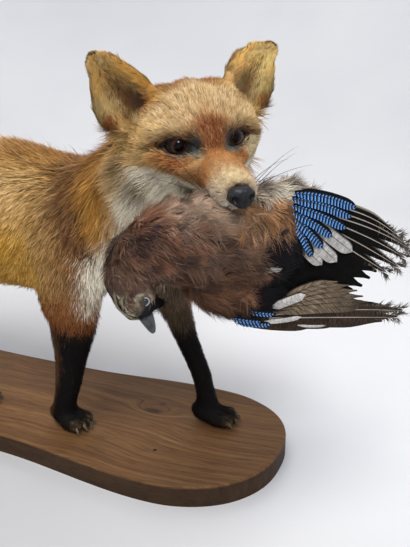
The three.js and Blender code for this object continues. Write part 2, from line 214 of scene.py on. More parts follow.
def makeStage():
    bm = bmesh.new()
    flatEnd = stage["radius"] - stage["curve"]
    profile = [bm.verts.new((0, 0, 0)), bm.verts.new((flatEnd, 0, 0))]
    for i in range(1, stage["curveSteps"] + 1):
        angle = math.radians(90 * i / stage["curveSteps"])
        x = stage["radius"] - stage["curve"] * (1 - math.sin(angle))
        profile.append(bm.verts.new((x, 0, stage["curve"] * (1 - math.cos(angle)))))
    profile.append(bm.verts.new((stage["radius"], 0, stage["wall"])))
    edges = [bm.edges.new(pair) for pair in zip(profile, profile[1:])]
    bmesh.ops.spin(
        bm, geom=profile + edges, cent=(0, 0, 0), axis=(0, 0, 1), angle=math.tau, steps=72, use_merge=True
    )
    bmesh.ops.remove_doubles(bm, verts=bm.verts, dist=1e-5)
    bmesh.ops.recalc_face_normals(bm, faces=bm.faces)
    mesh = meshFromBmesh("floor", bm)
    # Matt studio paper, with painted shade round the board's left end and in front, and painted light that
    # brightens the wall higher up.
    material = newMaterial("matt paper backdrop")
    place = addNode(material, "TexCoord").outputs["Object"]
    clouds = addNode(material, "TexNoise", {"Vector": place, "Scale": 1.5, "Detail": 3.0})
    tone = addNode(material, "ValToRGB", {"Fac": clouds})
    setRamp(tone, [(0.3, stage["shade"]), (0.7, stage["colour"])])
    fromShadeCentre = addNode(material, "VectorMath", {0: place, 1: stage["shadeCentre"]}, operation="DISTANCE")
    floorShade = addNode(material, "MapRange", {"Value": fromShadeCentre.outputs["Value"], **stage["floorShade"]})
    parts = addNode(material, "SeparateXYZ", {"Vector": place})
    frontShade = addNode(material, "MapRange", {"Value": parts.outputs["Y"], **stage["front"]})
    wallLight = addNode(material, "MapRange", {"Value": parts.outputs["Z"], **stage["wallTone"]})
    onFloor = addNode(material, "Math", {0: floorShade, 1: frontShade}, operation="MULTIPLY")
    shade = addNode(material, "Math", {0: onFloor, 1: wallLight}, operation="MULTIPLY")
    toned = addNode(material, "VectorMath", {0: tone, "Scale": shade}, operation="SCALE")
    surface = addNode(material, "BsdfPrincipled", {"Base Color": toned, "Roughness": 0.85})
    addNode(material, "OutputMaterial", {"Surface": surface})
    mesh.materials.append(material)
    floor = bpy.data.objects.new("floor", mesh)
    scene.collection.objects.link(floor)


def makeLights():
    for name in ("key", "fill", "back"):
        lamp = light[name]
        data = bpy.data.lights.new(name, "AREA")
        data.shape = "DISK"
        data.size = lamp["size"]
        data.energy = lamp["power"]
        data.color = linear(lamp["colour"])[:3]
        lampObject = bpy.data.objects.new(name, data)
        lampObject.location = lamp["place"]
        aim = Vector(light["aim"]) - Vector(lamp["place"])
        lampObject.rotation_euler = aim.to_track_quat("-Z", "Y").to_euler()
        lampObject.visible_glossy = name != "back"
        scene.collection.objects.link(lampObject)
    world = bpy.data.worlds.new("studio")
    world.use_nodes = True
    sky = world.node_tree.nodes["Background"]
    sky.inputs["Color"].default_value = linear(light["skyColour"])
    sky.inputs["Strength"].default_value = light["sky"]
    scene.world = world
    scene.view_settings.view_transform = "Standard"


makeCamera()
makeStage()
makeLights()
print("camera, stage and light are ready")

# The fox's eyes, seen from the head's frame; side is +1 on its left and -1 on its right.
eye = {
    "x": -10.2, "side": 23.3, "z": 0, "radius": 11.2,
    "look": (0.985, 0.16, 0.0), "cornea": 0.7, "pupil": 19, "iris": 38,  # degrees from where it looks
    "pupilColour": "040303", "irisInner": "1f0c08", "irisColour": "3f241a", "irisOuter": "26140e",
    "limbus": "0b0706", "white": "17100c",
    "innerCorner": (10.8, 11.2, -2.2), "outerCorner": (-13, 38.6, -0.5),
    "upper": 7.7, "lower": 6.1, "lid": 1.1, "sink": 2.4,
}
# The third eyelid in the inner corner, and the bare dark skin above it: where it is dark and where bare.
haw = {
    "place": (15.5, 14.6, -1.2), "size": (10, 6, 8.2),
    "above": (15.5, 15.5, 4), "aboveDark": (8, 6, 7), "aboveBare": (7, 5.5, 6),
}


def eyeCentre(side):
    return np.array([eye["x"], side * eye["side"], eye["z"]])


# The opening between the lids: its middle, and axes along it, up and outwards.
def eyeOpening(side):
    flip = np.array([1, side, 1])
    inner = np.array(eye["innerCorner"]) * flip
    outer = np.array(eye["outerCorner"]) * flip
    along = unit(outer - inner)
    out = unit(np.cross(along, (0, 0, 1)) * side)
    up = unit(np.cross(out, along)) * (1 if np.cross(out, along)[2] > 0 else -1)
    return (inner + outer) / 2, np.array([along, up, out]), np.linalg.norm(outer - inner) / 2


def lidHeights(share):
    upper = eye["upper"] * (1 - np.abs(share) ** 2.3)
    lower = -eye["lower"] * (1 - np.abs(share) ** 1.9)
    return upper, lower


# Points about an eye: along, up and out from the middle of its opening, half its length, and how far
# outside the lids' edges they lie.
def aroundEye(headPoints, side, wider=0):
    middle, axes, half = eyeOpening(side)
    half = half + wider
    u, v, w = ((headPoints - middle) @ axes.T).T
    upper, lower = lidHeights(u / half)
    outside = np.maximum(v - upper, lower - v)
    outside = np.where(np.abs(u) < half, outside, np.hypot(np.abs(u) - half, v))
    return u, v, w, half, outside


# The ears, in the head's frame: from the root up, across the opening and the way the opening looks.
ear = {
    "root": (-46, 52, 27.5), "up": (0.14, 0.415, 0.9), "across": (-0.33, 0.876, -0.35),
    "face": (0.93, 0.25, -0.26), "rightTaller": 1.2, "leftLower": 6, "leftBroader": 6, "leftLean": 6,
}


def earFrame(points):
    axes = unit(np.array([ear["up"], ear["across"], ear["face"]]))
    return (folded(points) - np.array(ear["root"])) @ axes.T


# The left ear was mounted a little lower and broader than the right: here both have one outline.
def toEar(points):
    rise, across, forward = earFrame(points).T
    left = points[:, 1] > 0
    rise = rise + left * ear["leftLower"] * ease(15, 46, rise)
    broader = ear["leftBroader"] * ease(4, 32, rise) * ease(66, 40, rise) * ease(0, -14, across)
    across = across + left * broader - left * ear["leftLean"] * ease(20, 50, rise)
    return np.column_stack([rise, across, forward])


def shapeEars(points):
    inHead = toHead(points)
    rise, across = earFrame(inHead)[:, :2].T
    left = inHead[:, 1] > 0
    onEar = earShare(inHead) * headShare(points)
    up = np.where(left, -ear["leftLower"] * ease(18, 52, rise), ear["rightTaller"] * ease(38, 50, rise))
    inwards = left * ear["leftBroader"] * ease(4, 32, rise) * ease(66, 40, rise) * ease(6, -8, across)
    inwards = inwards - left * ear["leftLean"] * ease(26, 56, rise)
    shift = up[:, None] * unit(np.array(ear["up"])) - inwards[:, None] * unit(np.array(ear["across"]))
    shift = shift * np.where(left[:, None], [[1, 1, 1]], [[1, -1, 1]])
    return points + (shift * onEar[:, None]) @ headAxes.T


def earShare(headPoints):
    rise, across, forward = toEar(headPoints).T
    share = ease(-16, -2, rise) * (1 - ease(30, 42, np.abs(across))) * (1 - ease(17, 26, np.abs(forward)))
    return share * ease(6, 16, np.abs(headPoints[:, 1]))


def headShare(points):
    return ease(-80, -60, toHead(points)[:, 0])


# The lie, the length and the depth of the coat: each guide is a place, the way the hair lies there,
# its length, how far the skin lies inside the coat, and how far the guide reaches. The flanks' guides
# and the head's are for both sides.
trunkMiddle = -10
bodyGuides = [
    ((-170, 0, 335), (-1, 0, -0.15), 30, 11, 45), ((-60, 0, 345), (-1, 0, 0), 30, 11, 45),
    ((50, 0, 352), (-1, 0, 0), 30, 12, 45), ((140, 0, 345), (-0.95, 0, -0.25), 30, 15, 40),
    ((-150, 60, 270), (-0.8, 0, -0.6), 27, 9, 45), ((-50, 60, 265), (-0.85, 0, -0.5), 28, 10, 45),
    ((45, 62, 255), (-0.8, 0, -0.6), 28, 10, 40), ((-40, 30, 195), (-0.95, 0, -0.35), 30, 10, 40),
    ((60, 30, 185), (-0.9, 0, -0.45), 30, 10, 35), ((135, 62, 280), (-0.5, 0, -0.85), 25, 9, 35),
    ((165, 50, 225), (-0.25, 0, -1), 19, 6, 30), ((165, 45, 180), (-0.1, 0, -1), 16, 5, 24),
    ((200, 0, 345), (-0.9, 0.3, -0.25), 32, 16, 35), ((215, 50, 300), (-0.6, 0.05, -0.75), 33, 12, 35),
    ((265, 95, 315), (-0.45, 0, -0.9), 34, 12, 35), ((235, 10, 205), (-0.25, 0, -1), 24, 8, 32),
    ((212, 45, 205), (-0.1, 0, -1), 15, 5, 22),
    ((290, 30, 265), (-0.3, 0, -0.95), 34, 10, 35), ((240, 30, 190), (0, 0, -1), 15, 5, 22),
    ((160, 38, 145), (0, 0, -1), 11, 3.4, 20), ((155, 38, 105), (0, 0, -1), 8, 2.3, 20),
    ((148, 38, 65), (0.05, 0, -1), 6, 1.8, 18), ((260, 38, 145), (0.25, 0, -1), 10, 3, 20),
    ((275, 38, 105), (0.3, 0, -1), 8, 2.2, 20), ((290, 38, 65), (0.15, 0, -1), 6, 1.8, 18),
    ((155, 38, 35), (0.8, 0, -0.5), 4.5, 1.4, 16), ((305, 38, 35), (0.8, 0, -0.5), 4.5, 1.4, 16),
    ((-115, 50, 240), (-0.5, 0, -0.85), 25, 8, 35), ((-60, 45, 195), (-0.5, 0, -0.9), 20, 6, 28),
    ((-150, 45, 185), (-0.55, 0, -0.85), 18, 6, 26), ((-60, 40, 145), (-0.1, 0, -1), 12, 3.6, 20),
    ((-195, 40, 145), (-0.4, 0, -0.9), 12, 3.6, 20), ((-55, 38, 95), (0.45, 0, -0.9), 8, 2.3, 20),
    ((-232, 40, 95), (-0.1, 0, -1), 8, 2.3, 20), ((-20, 38, 50), (0.6, 0, -0.8), 5.5, 1.6, 18),
    ((-236, 40, 50), (0.1, 0, -1), 5.5, 1.6, 18), ((20, 38, 32), (0.8, 0, -0.5), 4.5, 1.4, 16),
    ((-210, 40, 32), (0.8, 0, -0.5), 4.5, 1.4, 16), ((-225, 0, 290), (-0.94, 0, -0.33), 34, 10, 30),
    ((-300, 0, 264), (-0.94, 0, -0.34), 42, 15, 35), ((-380, 0, 233), (-0.93, 0, -0.36), 48, 19, 40),
    ((-460, 0, 198), (-0.92, 0, -0.38), 50, 20, 40), ((-530, 0, 170), (-0.92, 0, -0.38), 44, 14, 35),
]
headGuides = [
    ((68, 8, -22), (-1, 0.2, 0.3), 2.8, 0.7, 10), ((45, 0, -8), (-1, 0, 0.1), 4, 1, 12),
    ((22, 0, 0), (-1, 0, 0.2), 5, 1.3, 12), ((8, 0, 12), (-0.7, 0, 0.7), 7, 2, 12),
    ((-12, 0, 33), (-0.55, 0, 0.83), 12, 4, 15), ((-45, 0, 50), (-1, 0, 0.15), 16, 5, 18),
    ((-14, 25, 30), (-0.6, 0.45, 0.65), 11, 4, 15), ((2, 20, 14), (-0.55, 0.45, 0.7), 6.5, 2, 9),
    ((-14, 36, 12), (-0.7, 0.6, 0.4), 8, 2.6, 10), ((-32, 48, 14), (-0.8, 0.5, 0.25), 13, 4.5, 14),
    ((8, 26, -13), (-0.85, 0.4, -0.2), 5.5, 1.7, 9), ((-10, 38, -12), (-0.85, 0.45, -0.25), 9, 3, 12),
    ((42, 17, -22), (-1, 0.15, -0.1), 4, 1.1, 12), ((42, 14, -36), (-0.95, 0.1, -0.3), 5, 1.2, 12),
    ((58, 15, -29), (-0.8, 0.5, -0.3), 7.5, 1.6, 7),
    ((15, 24, -34), (-0.9, 0.3, -0.3), 8, 2.3, 12), ((-20, 46, -26), (-0.8, 0.45, -0.4), 17, 6, 15),
    ((-42, 55, -45), (-0.55, 0.35, -0.75), 27, 9, 18), ((-62, 58, -15), (-0.85, 0.4, -0.4), 28, 9, 18),
    ((10, 10, -72), (-1, 0, -0.2), 7, 2, 18), ((-40, 15, -75), (-0.7, 0, -0.7), 24, 8, 22),
    ((-75, 10, 42), (-1, 0, -0.1), 22, 8, 20),
]
earCoat = {"length": 9.5, "depth": 0.7}
lidClip = {"place": (14, 34, -18), "size": (44, 28, 16), "by": 0.6}  # shorter hair under the eye


def followGuides(points, guides):
    leftward = folded(points)
    sums = np.zeros((len(points), 6))
    for place, lie, length, depth, reach in guides:
        weight = np.exp(-0.5 * ((leftward - place) ** 2).sum(1) / reach**2) + 1e-12
        sums += weight[:, None] * np.array([*unit(np.array(lie, float)), length, depth, 1])
    values = sums / sums[:, 5:]
    values[:, 1] *= np.sign(points[:, 1] + 1e-9)
    return values[:, :3], values[:, 3], values[:, 4]


def coatField(points):
    onBody = points - (0, trunkMiddle, 0)
    lie, length, depth = followGuides(onBody, bodyGuides)
    inHead = toHead(points)
    headLie, headLength, headDepth = followGuides(inHead, headGuides)
    share = headShare(points)
    lie = lie * (1 - share[:, None]) + headLie @ headAxes.T * share[:, None]
    length = length * (1 - share) + headLength * share
    depth = depth * (1 - share) + headDepth * share
    clipped = 1 - lidClip["by"] * blob(inHead, lidClip["place"], lidClip["size"]) * share
    length = length * clipped
    depth = depth * clipped
    # On the ears the hair runs up, and turns outwards near the tips.
    onEar = earShare(inHead) * share
    side = np.where(inHead[:, 1:2] < 0, [[1, -1, 1]], [[1, 1, 1]])
    earUp = (np.array(ear["up"]) * side) @ headAxes.T
    lie = lie * (1 - onEar[:, None]) + earUp * onEar[:, None]
    rise, across, forward = toEar(inHead).T
    earAcross = (unit(np.array(ear["across"])) * side) @ headAxes.T
    turned = across * (0.06 * ease(28, 44, rise) - 0.03) + 0.3 * waver(inHead, 7)
    lie = lie + (onEar * turned)[:, None] * earAcross
    length = length * (1 - onEar) + earCoat["length"] * (1 - 0.5 * ease(36, 50, rise)) * onEar
    depth = depth * (1 - onEar) + earCoat["depth"] * onEar
    return unit(lie), length, depth


# The markings, which the skin and the coat share.
fur = {
    "back": "835125", "backPale": "d6ad6f", "flank": "cd993d", "flankLow": "d39d42", "belly": "cbb892",
    "saddle": "a17a48", "saddleRed": "6d4327", "neck": "c78e40", "neckTop": "b5793c", "bib": "fdf3da",
    "rump": "a5693b", "upperLeg": "84502a", "black": "0f0c0b", "blackBrown": "3a2a1e", "legBack": "6b4a2e",
    "legGrey": "645340", "toe": "6b573c", "tail": "9c6a3e", "tailDark": "5e4230", "tailTip": "ddd6c8",
    "forehead": "be9d6d", "crown": "835226", "rust": "a2602d", "rustDeep": "653317", "brow": "804a21",
    "browPaintedLight": "ebc78c", "bridge": "a56f3e", "cream": "cab78f", "cheek": "eee3ca", "lip": "dcd2bf",
    "temple": "d9ae6a", "greyStreak": "5f4c35", "cheekShade": "685838", "eyeLine": "241a15",
    "haw": "444b47", "hawDark": "24211d", "hawPale": "6e7468", "mouth": "2e2522",
    "earInside": "c79e5e", "earSwirl": "ddc488", "earShade": "7d5835", "earPale": "c9b072",
    "earHollowShade": "3f2918", "earRim": "1f1815", "earEdge": "ca9748", "earSpot": "8a4a22", "earBack": "3a2a20",
}
# Where the white begins: down the neck's side as x at a height, and on the cheek in the head's frame.
bibEdge = {
    "z": (150, 190, 214, 235, 254, 273, 292, 315), "x": (192, 193, 195, 201, 219, 238, 254, 264),
    "left": 34, "top": 345, "leftDrop": 60,
}
cheekTop = {"x": (-60, -43, -16, -5, 11, 25, 45), "z": (-8, -13, -14, -20, -25, -37, -41)}
cheekBack = {"z": (-105, -83, -63, -40, -26, -14), "x": (-93, -79, -61, -49, -43, -40)}
rustBand = {"x": (-20, -5, 6, 15, 25, 40), "z": (-6, -9, -14, -19, -26, -30), "thick": 8}
eyeStreak = {"start": (-12, 38, 0), "run": (-6, 15, -3)}
earOutline = {"rise": (-24, -6, 12, 27, 40, 50, 57), "wide": (25, 29.5, 28.5, 22.5, 15, 8.5, 3.5)}


# A slow wavering, so that no border of the markings is a clean line.
def waver(points, size):
    a, b, c = (points / size).T
    return (np.sin(a * 2.1 + np.sin(b * 1.7)) + np.sin(b * 2.6 + c * 1.9) + np.sin(c * 2.3 - a * 1.1)) / 3


toeTips = np.array([coordinates(nodes[n].data).mean(0) / mm for n in nodes if n.startswith("claw")])


# How near a point is to the end of a toe, and how much it lies between two toes.
def toeShares(points):
    near, between = np.zeros(len(points)), np.zeros(len(points))
    low = np.nonzero(points[:, 2] < 45)[0]
    gaps = np.linalg.norm(points[low, None, :2] - toeTips[None, :, :2], axis=2)
    ranked = np.sort(gaps, axis=1)
    near[low] = ease(17, 7, ranked[:, 0])
    between[low] = ease(3.2, 0, ranked[:, 1] - ranked[:, 0]) * ease(30, 20, ranked[:, 0])
    return near, between


def bodyMarkings(points):
    p = points - (0, trunkMiddle, 0)
    x, y, z = p.T
    side = np.abs(y)
    patchy = waver(points, 22)
    layers = [
        (ease(320, 348, z) * 0.75, "backPale"),
        (ease(332, 296, z + patchy * 8) * ease(176, 146, x), "flank"),
        (ease(262, 215, z) * ease(160, 125, x), "flankLow"),
        (ease(205, 180, z) * ease(40, 20, side) * ease(200, 120, x), "belly"),
        (blob(p, (-165, 0, 300), (90, 90, 60)) * 0.6, "rump"),
    ]
    for flank in (62, -62):
        layers += [
            (blob(p, (110, flank, 302), (60, 34, 26), 0.6) * 0.9, "backPale"),
            (blob(p, (182, flank, 254), (40, 66, 86), 0.5) * (0.85 + 0.3 * patchy), "saddle"),
            (blob(p, (200, flank, 296), (24, 60, 34), 0.7) * 0.65, "saddleRed"),
            (blob(p, (199, flank, 244), (19, 60, 50), 0.6) * (0.8 + 0.3 * patchy), "saddleRed"),
        ]
    edge = np.interp(z, bibEdge["z"], bibEdge["x"]) + ease(-50, 30, y) * bibEdge["left"]
    top = bibEdge["top"] - bibEdge["leftDrop"] * ease(-40, 30, y)
    onBib = ease(-10, 12, x - edge + patchy * 5) * ease(172, 186, z) * ease(top + 14, top - 10, z)
    # The legs' black runs up their fronts, and the backs stay browner.
    foreLeft = ease(-20, 0, points[:, 1])
    foreBlack = ease(165, 153, z - foreLeft * 4 + patchy * 3) * ease(90, 110, x)
    hindBlack = ease(126, 92, z) * ease(60, 40, x)
    legLine = np.where(z > 110, 168, 168 - (110 - z) * 0.28)
    rear = ease(-12, -19, x - legLine) * foreBlack * (x < 200)
    near, between = toeShares(points)
    onTail = np.maximum(ease(-204, -240, x) * ease(226, 252, z), ease(-222, -240, x) * ease(120, 150, z))
    shade = ease(0.2, 0.8, np.sin(x * 0.11) * 0.5 + np.sin(x * 0.047 + y * 0.1) * 0.5)
    layers += [
        (ease(208, 230, x + patchy * 6) * ease(205, 235, z), "neck"),
        (blob(p, (225, 10, 355), (80, 90, 30), 0.4) * 0.8, "neckTop"),
        (ease(214, 188, z) * ease(96, 130, x), "upperLeg"),
        (ease(-30, -52, x) * ease(205, 170, z) * 0.7, "upperLeg"),
        (onBib, "bib"),
        (ease(-12, 4, points[:, 1]) * ease(226, 204, z) * ease(210, 235, x), "legGrey"),
        (foreBlack + hindBlack, "black"),
        (rear * 0.7, "legBack"),
        (foreBlack * ease(140, 160, z) * 0.5, "blackBrown"),
        (foreBlack * foreLeft * ease(132, 160, z) * 0.85, "legGrey"),
        (ease(40, 28, z) * 0.35, "blackBrown"),
        (near * (0.5 + 0.5 * waver(points, 3)) * 0.8, "toe"),
        (between, "black"),
        (onTail, "tail"),
        (onTail * (0.25 + 0.4 * shade), "tailDark"),
        (ease(-486, -508, x), "tailTip"),
    ]
    return painted(tint(fur["back"]), fur, layers)


def headMarkings(points):
    p = toHead(points)
    q = folded(p)
    x, y, z = q.T
    patchy = waver(p, 9)
    streaky = 0.75 + 0.45 * waver(p * (0.3, 1, 0.2), 1.7)
    fine = waver(p * (0.5, 0.8, 1), 1.6)
    # Painted shade: less cream on the muzzle's left side behind the nose, where the key light falls.
    litSideShade = 1 - 0.7 * ease(0, 9, p[:, 1]) * ease(66, 48, x)
    # A rust band runs from behind the eye down to the lip, and the white begins under it.
    bandMiddle = np.interp(x, rustBand["x"], rustBand["z"])
    band = np.exp(-(((z - bandMiddle + patchy * 2) / rustBand["thick"]) ** 2))
    band = band * ease(-15, -3, x) * ease(42, 30, x) * ease(8, 14, y)
    white = ease(0, -4, z - np.interp(x, cheekTop["x"], cheekTop["z"]) + patchy * 2)
    white = white * ease(-6, 8, x - np.interp(z, cheekBack["z"], cheekBack["x"]) + patchy * 4)
    # A dark line runs back from the outer corner of the eye.
    run = np.array(eyeStreak["run"])
    along = np.clip(((q - eyeStreak["start"]) @ run) / (run @ run), 0, 1)
    fromLine = np.linalg.norm(q - eyeStreak["start"] - along[:, None] * run, axis=1)
    layers = [
        (ease(-16, -42, x) * ease(10, 34, z), "crown"),
        (blob(q, (-42, 28, 40), (22, 20, 16), 0.5) * 0.8, "crown"),
        (blob(q, (-34, 52, 6), (26, 22, 18)), "temple"),
        # Pale fur behind the eye, made paler still with painted light where this side faces away from the
        # key.
        (blob(q, (-18, 52, -8), (21, 17, 16), 0.5) * 0.9, "temple"),
        (ease(-56, -70, x), "neck"),
        (ease(-42, -54, x) * ease(24, 38, z) * 0.7, "temple"),
        (ease(14, 28, x), "bridge"),
        (blob(q, (12, 0, 7), (18, 15, 13), 0.6) * streaky, "rust"),
        (blob(q, (10, 0, 12), (13, 8, 12), 0.8) * 0.6 * streaky, "rust"),
        (blob(q, (14, 0, 7), (16, 14, 11), 0.6) * 1.35 * streaky, "rustDeep"),
        (ease(30, 76, x + patchy * 5) * ease(-30, -15, z) * ease(24, 9, y) * litSideShade, "cream"),
        (blob(q, (62, 14, -28), (16, 9, 9), 0.7) * 0.55, "cheek"),
        (band, "rust"),
        (band * ease(-0.05, 0.4, fine) * ease(18, 8, x) * 0.8, "rustDeep"),
        (band * ease(-0.2, -0.6, fine) * 0.25, "temple"),
        (white, "cheek"),
        (blob(q, (-50, 64, 0), (17, 18, 12), 0.6) * 0.8, "temple"),
        (blob(q, (-46, 54, 24), (11, 13, 8), 0.6) * 0.6, "earSpot"),
        (blob(q, (-25, 57, -2), (9, 9, 5), 0.6) * 0.5, "brow"),
        (blob(q, (-44, 68, -18), (11, 12, 9), 0.6) * (0.85 + 0.3 * patchy), "greyStreak"),
        (blob(q, (-27, 55, -33), (18, 12, 10), 0.7) * (0.9 + 0.2 * patchy), "cheekShade"),
        # Painted light: a paler patch in the hollow above the eye, and one under the muzzle where its
        # shadow falls.
        (blob(q, (-3, 40, 15), (14, 12, 8), 0.8) * 0.75, "browPaintedLight"),
        (blob(q, (20, 23, -15), (13, 9, 9), 0.6) * 0.4, "forehead"),
        (blob(p, (-6, 42, -12), (14, 11, 12)) * 0.9, "cream"),
        (ease(16, 34, x) * ease(-27, -33, z), "lip"),
        (blob(q, (4, 38, -38), (9, 8, 4)), "mouth"),
        (ease(4.2, 1.6, fromLine) * (1 - 0.5 * along), "eyeLine"),
    ]
    for side in (1, -1):
        u, v, w, half, outside = aroundEye(p, side)
        near = ease(24, 16, np.abs(w))
        above = ease(-1, 2, v)
        # A pale band along the inner half of the lower lid: partly the lid's own grey, partly a painted
        # highlight on the wet lid.
        lidEdge = ease(4.2, 2.4, outside) * (1 - above) * near * ease(0.5, -0.3, u / half)
        onHaw = blob(p, np.array(haw["place"]) * (1, side, 1), haw["size"], 0.3)
        beside = blob(p, np.array(haw["above"]) * (1, side, 1), haw["aboveDark"], 0.45)
        layers += [
            (ease(6, 1.5, outside) * above * near * 0.8, "brow"),
            (lidEdge * 0.8, "hawPale"),
            (ease(1.0 + 1.2 * above, 0.2, outside) * near, "eyeLine"),
            (beside * 0.85, "hawDark"),
            (onHaw, "haw"),
            (onHaw * ease(-2, 3, z) * 0.8, "hawDark"),
            (onHaw * ease(-1, -7, z) * (0.6 + 0.4 * waver(p, 2.2)), "hawPale"),
        ]
    return painted(tint(fur["forehead"]), fur, layers)


def earMarkings(points):
    inHead = toHead(points)
    rise, across, forward = toEar(inHead).T
    left = inHead[:, 1] > 0
    edge = np.abs(across) / np.interp(rise, earOutline["rise"], earOutline["wide"])
    flat = np.column_stack([rise, across, forward * 0])
    swirl = waver(flat * (0.45, 1.5, 1) + (0, 0, 4), 5)
    behind = ease(3.5, -1.5, forward + 2.5 * edge)
    colours = painted(tint(fur["earInside"]), fur, [
        (ease(0, 0.5, swirl) * 0.7, "earSwirl"),
        (ease(0, -0.5, swirl) * 0.55, "earEdge"),
        # The two dark patches in the ear's hollow are painted shade; the left ear gets less of them, and
        # more pale, as painted light.
        (blob(flat, (14, 3, 0), (15, 8, 9), 0.7) * (0.55 - 0.35 * left), "earShade"),
        (blob(flat, (-2, -9, 0), (20, 13, 9), 0.55) * (1 - 0.3 * left), "earHollowShade"),
        (ease(0.55, 0.9, edge) * (across < 0) * (1 - 0.7 * left), "earEdge"),
        (ease(4, 22, across + swirl * 4) * ease(36, 6, rise) * (0.42 + 0.4 * left), "earPale"),
        (left * ease(-6, 14, across + swirl * 4) * ease(50, 38, rise) * 0.5, "earPale"),
        (left * ease(16, 32, rise) * 0.4, "earPale"),
        (blob(flat, (-9, 20, 0), (12, 7, 9), 0.5) * 0.9, "earSpot"),
        (blob(flat, (-4, -22, 0), (15, 7, 9), 0.6) * 0.6, "earSpot"),
        (behind, "earBack"),
        (behind * ease(24, -4, rise), "crown"),
    ])
    # Painted light on the left ear: its inside is brightened in its middle, where its own edge shades it,
    # and darkened a little at its tip.
    leftEarLight = 1 + 0.5 * left * ease(4, 22, rise) * ease(-3, 3, forward)
    leftEarLight = leftEarLight * (1 + 0.6 * left * blob(flat, (28, 0, 0), (18, 11, 9), 0.8))
    leftEarLight = leftEarLight * (1 - 0.25 * left * ease(40, 48, rise))
    rim = ease(0.93, 1.0, edge) * ease(4, 22, rise) + ease(50, 55, rise)
    return painted(colours * leftEarLight[:, None], fur, [(rim * 0.9, "earRim")])


def markings(points):
    share = headShare(points)[:, None]
    colours = mixed(bodyMarkings(points), headMarkings(points), share)
    return mixed(colours, earMarkings(points), earShare(toHead(points))[:, None] * share)


# The skin: one closed form inside the coat, with lids round the eyes.
skin = {
    "voxel": 3.25 * mm, "bridge": 0.5 * mm, "bodySoft": 36, "headSoft": 5,
    "toeCleft": 2.6, "toeSwell": 0.6,
    "withers": {"place": (105, 0, 352), "size": (56, 60, 44), "dip": 6},
    "buttocks": {"place": (-226, trunkMiddle, 208), "size": (62, 90, 58), "slope": (24, 0, 17)},
}
fleshNodes = [n for n in nodes if not n.startswith(("claw", "eye", "nose", "jay", "base_board"))]


def vertexNormals(mesh):
    values = np.empty(len(mesh.vertices) * 3)
    mesh.vertex_normals.foreach_get("vector", values)
    return values.reshape(-1, 3)


# Copies of CAD nodes, each swollen a little so that the thin cuts between them close.
def swollenCopies(names, swell):
    together = bmesh.new()
    for name in names:
        copy = bmesh.new()
        copy.from_mesh(nodes[name].data)
        bmesh.ops.remove_doubles(copy, verts=copy.verts, dist=1e-5)
        bmesh.ops.recalc_face_normals(copy, faces=copy.faces)
        copy.normal_update()
        for vertex in copy.verts:
            vertex.co += vertex.normal * swell
        mesh = bpy.data.meshes.new("copy")
        copy.to_mesh(mesh)
        copy.free()
        together.from_mesh(mesh)
        bpy.data.meshes.remove(mesh)
    return together


# A mesh after one modifier, which may act by a share of each vertex.
def withModifier(mesh, kind, groupWeights=None, **settings):
    carrier = bpy.data.objects.new("carrier", mesh)
    scene.collection.objects.link(carrier)
    modifier = carrier.modifiers.new("step", kind)
    for name, value in settings.items():
        setattr(modifier, name, value)
    if groupWeights is not None:
        group = carrier.vertex_groups.new(name="share")
        steps = np.round(groupWeights * 10).astype(int)
        for step in range(1, 11):
            group.add(np.nonzero(steps == step)[0].tolist(), step / 10, "REPLACE")
        modifier.vertex_group = "share"
    evaluated = carrier.evaluated_get(bpy.context.evaluated_depsgraph_get())
    result = bpy.data.meshes.new_from_object(evaluated)
    bpy.data.objects.remove(carrier)
    return result


# Balls close the eye sockets from behind: one round the eye, and one at each corner.
def fillSockets(bm):
    for side in (1, -1):
        middle, axes, half = eyeOpening(side)
        balls = [
            (eyeCentre(side), eye["radius"] + 1.6),
            (middle - axes[0] * (half - 6) - axes[2] * 5, 6.5),
            (middle + axes[0] * (half - 7) - axes[2] * 6, 8.0),
        ]
        for centre, radius in balls:
            place = Matrix.Translation(Vector(fromHead(centre) * mm))
            bmesh.ops.create_icosphere(bm, subdivisions=3, radius=radius * mm, matrix=place)


# The lids stand a little proud of the eyeball, and the skin in the opening sinks behind it.
def shapeLids(points):
    p = toHead(points)
    for side in (1, -1):
        centre = eyeCentre(side)
        middle, axes, half = eyeOpening(side)
        u, v, w, half, outside = aroundEye(p, side)
        fromCentre = p - centre
        far = np.linalg.norm(fromCentre, axis=1)
        facing = fromCentre @ axes[2] > -2
        lidNear = (far < eye["radius"] + eye["lid"] + 4) & facing
        proud = eye["radius"] + eye["lid"] * ease(9, 1.5, outside) + 0.2
        pushed = np.where(lidNear & (outside > 0) & (far < proud), proud / np.maximum(far, 1e-6), 1)
        p = centre + fromCentre * pushed[:, None]
        sunk = lidNear & (outside <= 0.2)
        target = np.minimum(far, eye["radius"] - eye["sink"] * ease(0.2, -1.5, outside))
        p = np.where(sunk[:, None], centre + fromCentre * (target / np.maximum(far, 1e-6))[:, None], p)
        # Round the opening the skin stands no higher than a slope from the lids, least of all at the nose.
        local = (p - middle) @ axes.T
        slope = 0.3 + 0.35 * ease(-0.7, 0.1, local[:, 0] / half)
        over = local[:, 2] - (0.4 + slope * np.maximum(outside, 0))
        lowered = np.log1p(np.exp(np.clip(over * 1.5, -20, 20))) / 1.5
        lowered = lowered * ease(13, 8, outside) * (np.abs(w) < 16)
        inBall = (far < eye["radius"] + eye["lid"] + 0.5) & facing
        p = p - (lowered * ~inBall)[:, None] * axes[2]
        corner = (np.abs(u) < half) & (outside < 0) & ~lidNear & (np.abs(w) < 10)
        p = p - corner[:, None] * axes[2] * 1.4
    return fromHead(p)


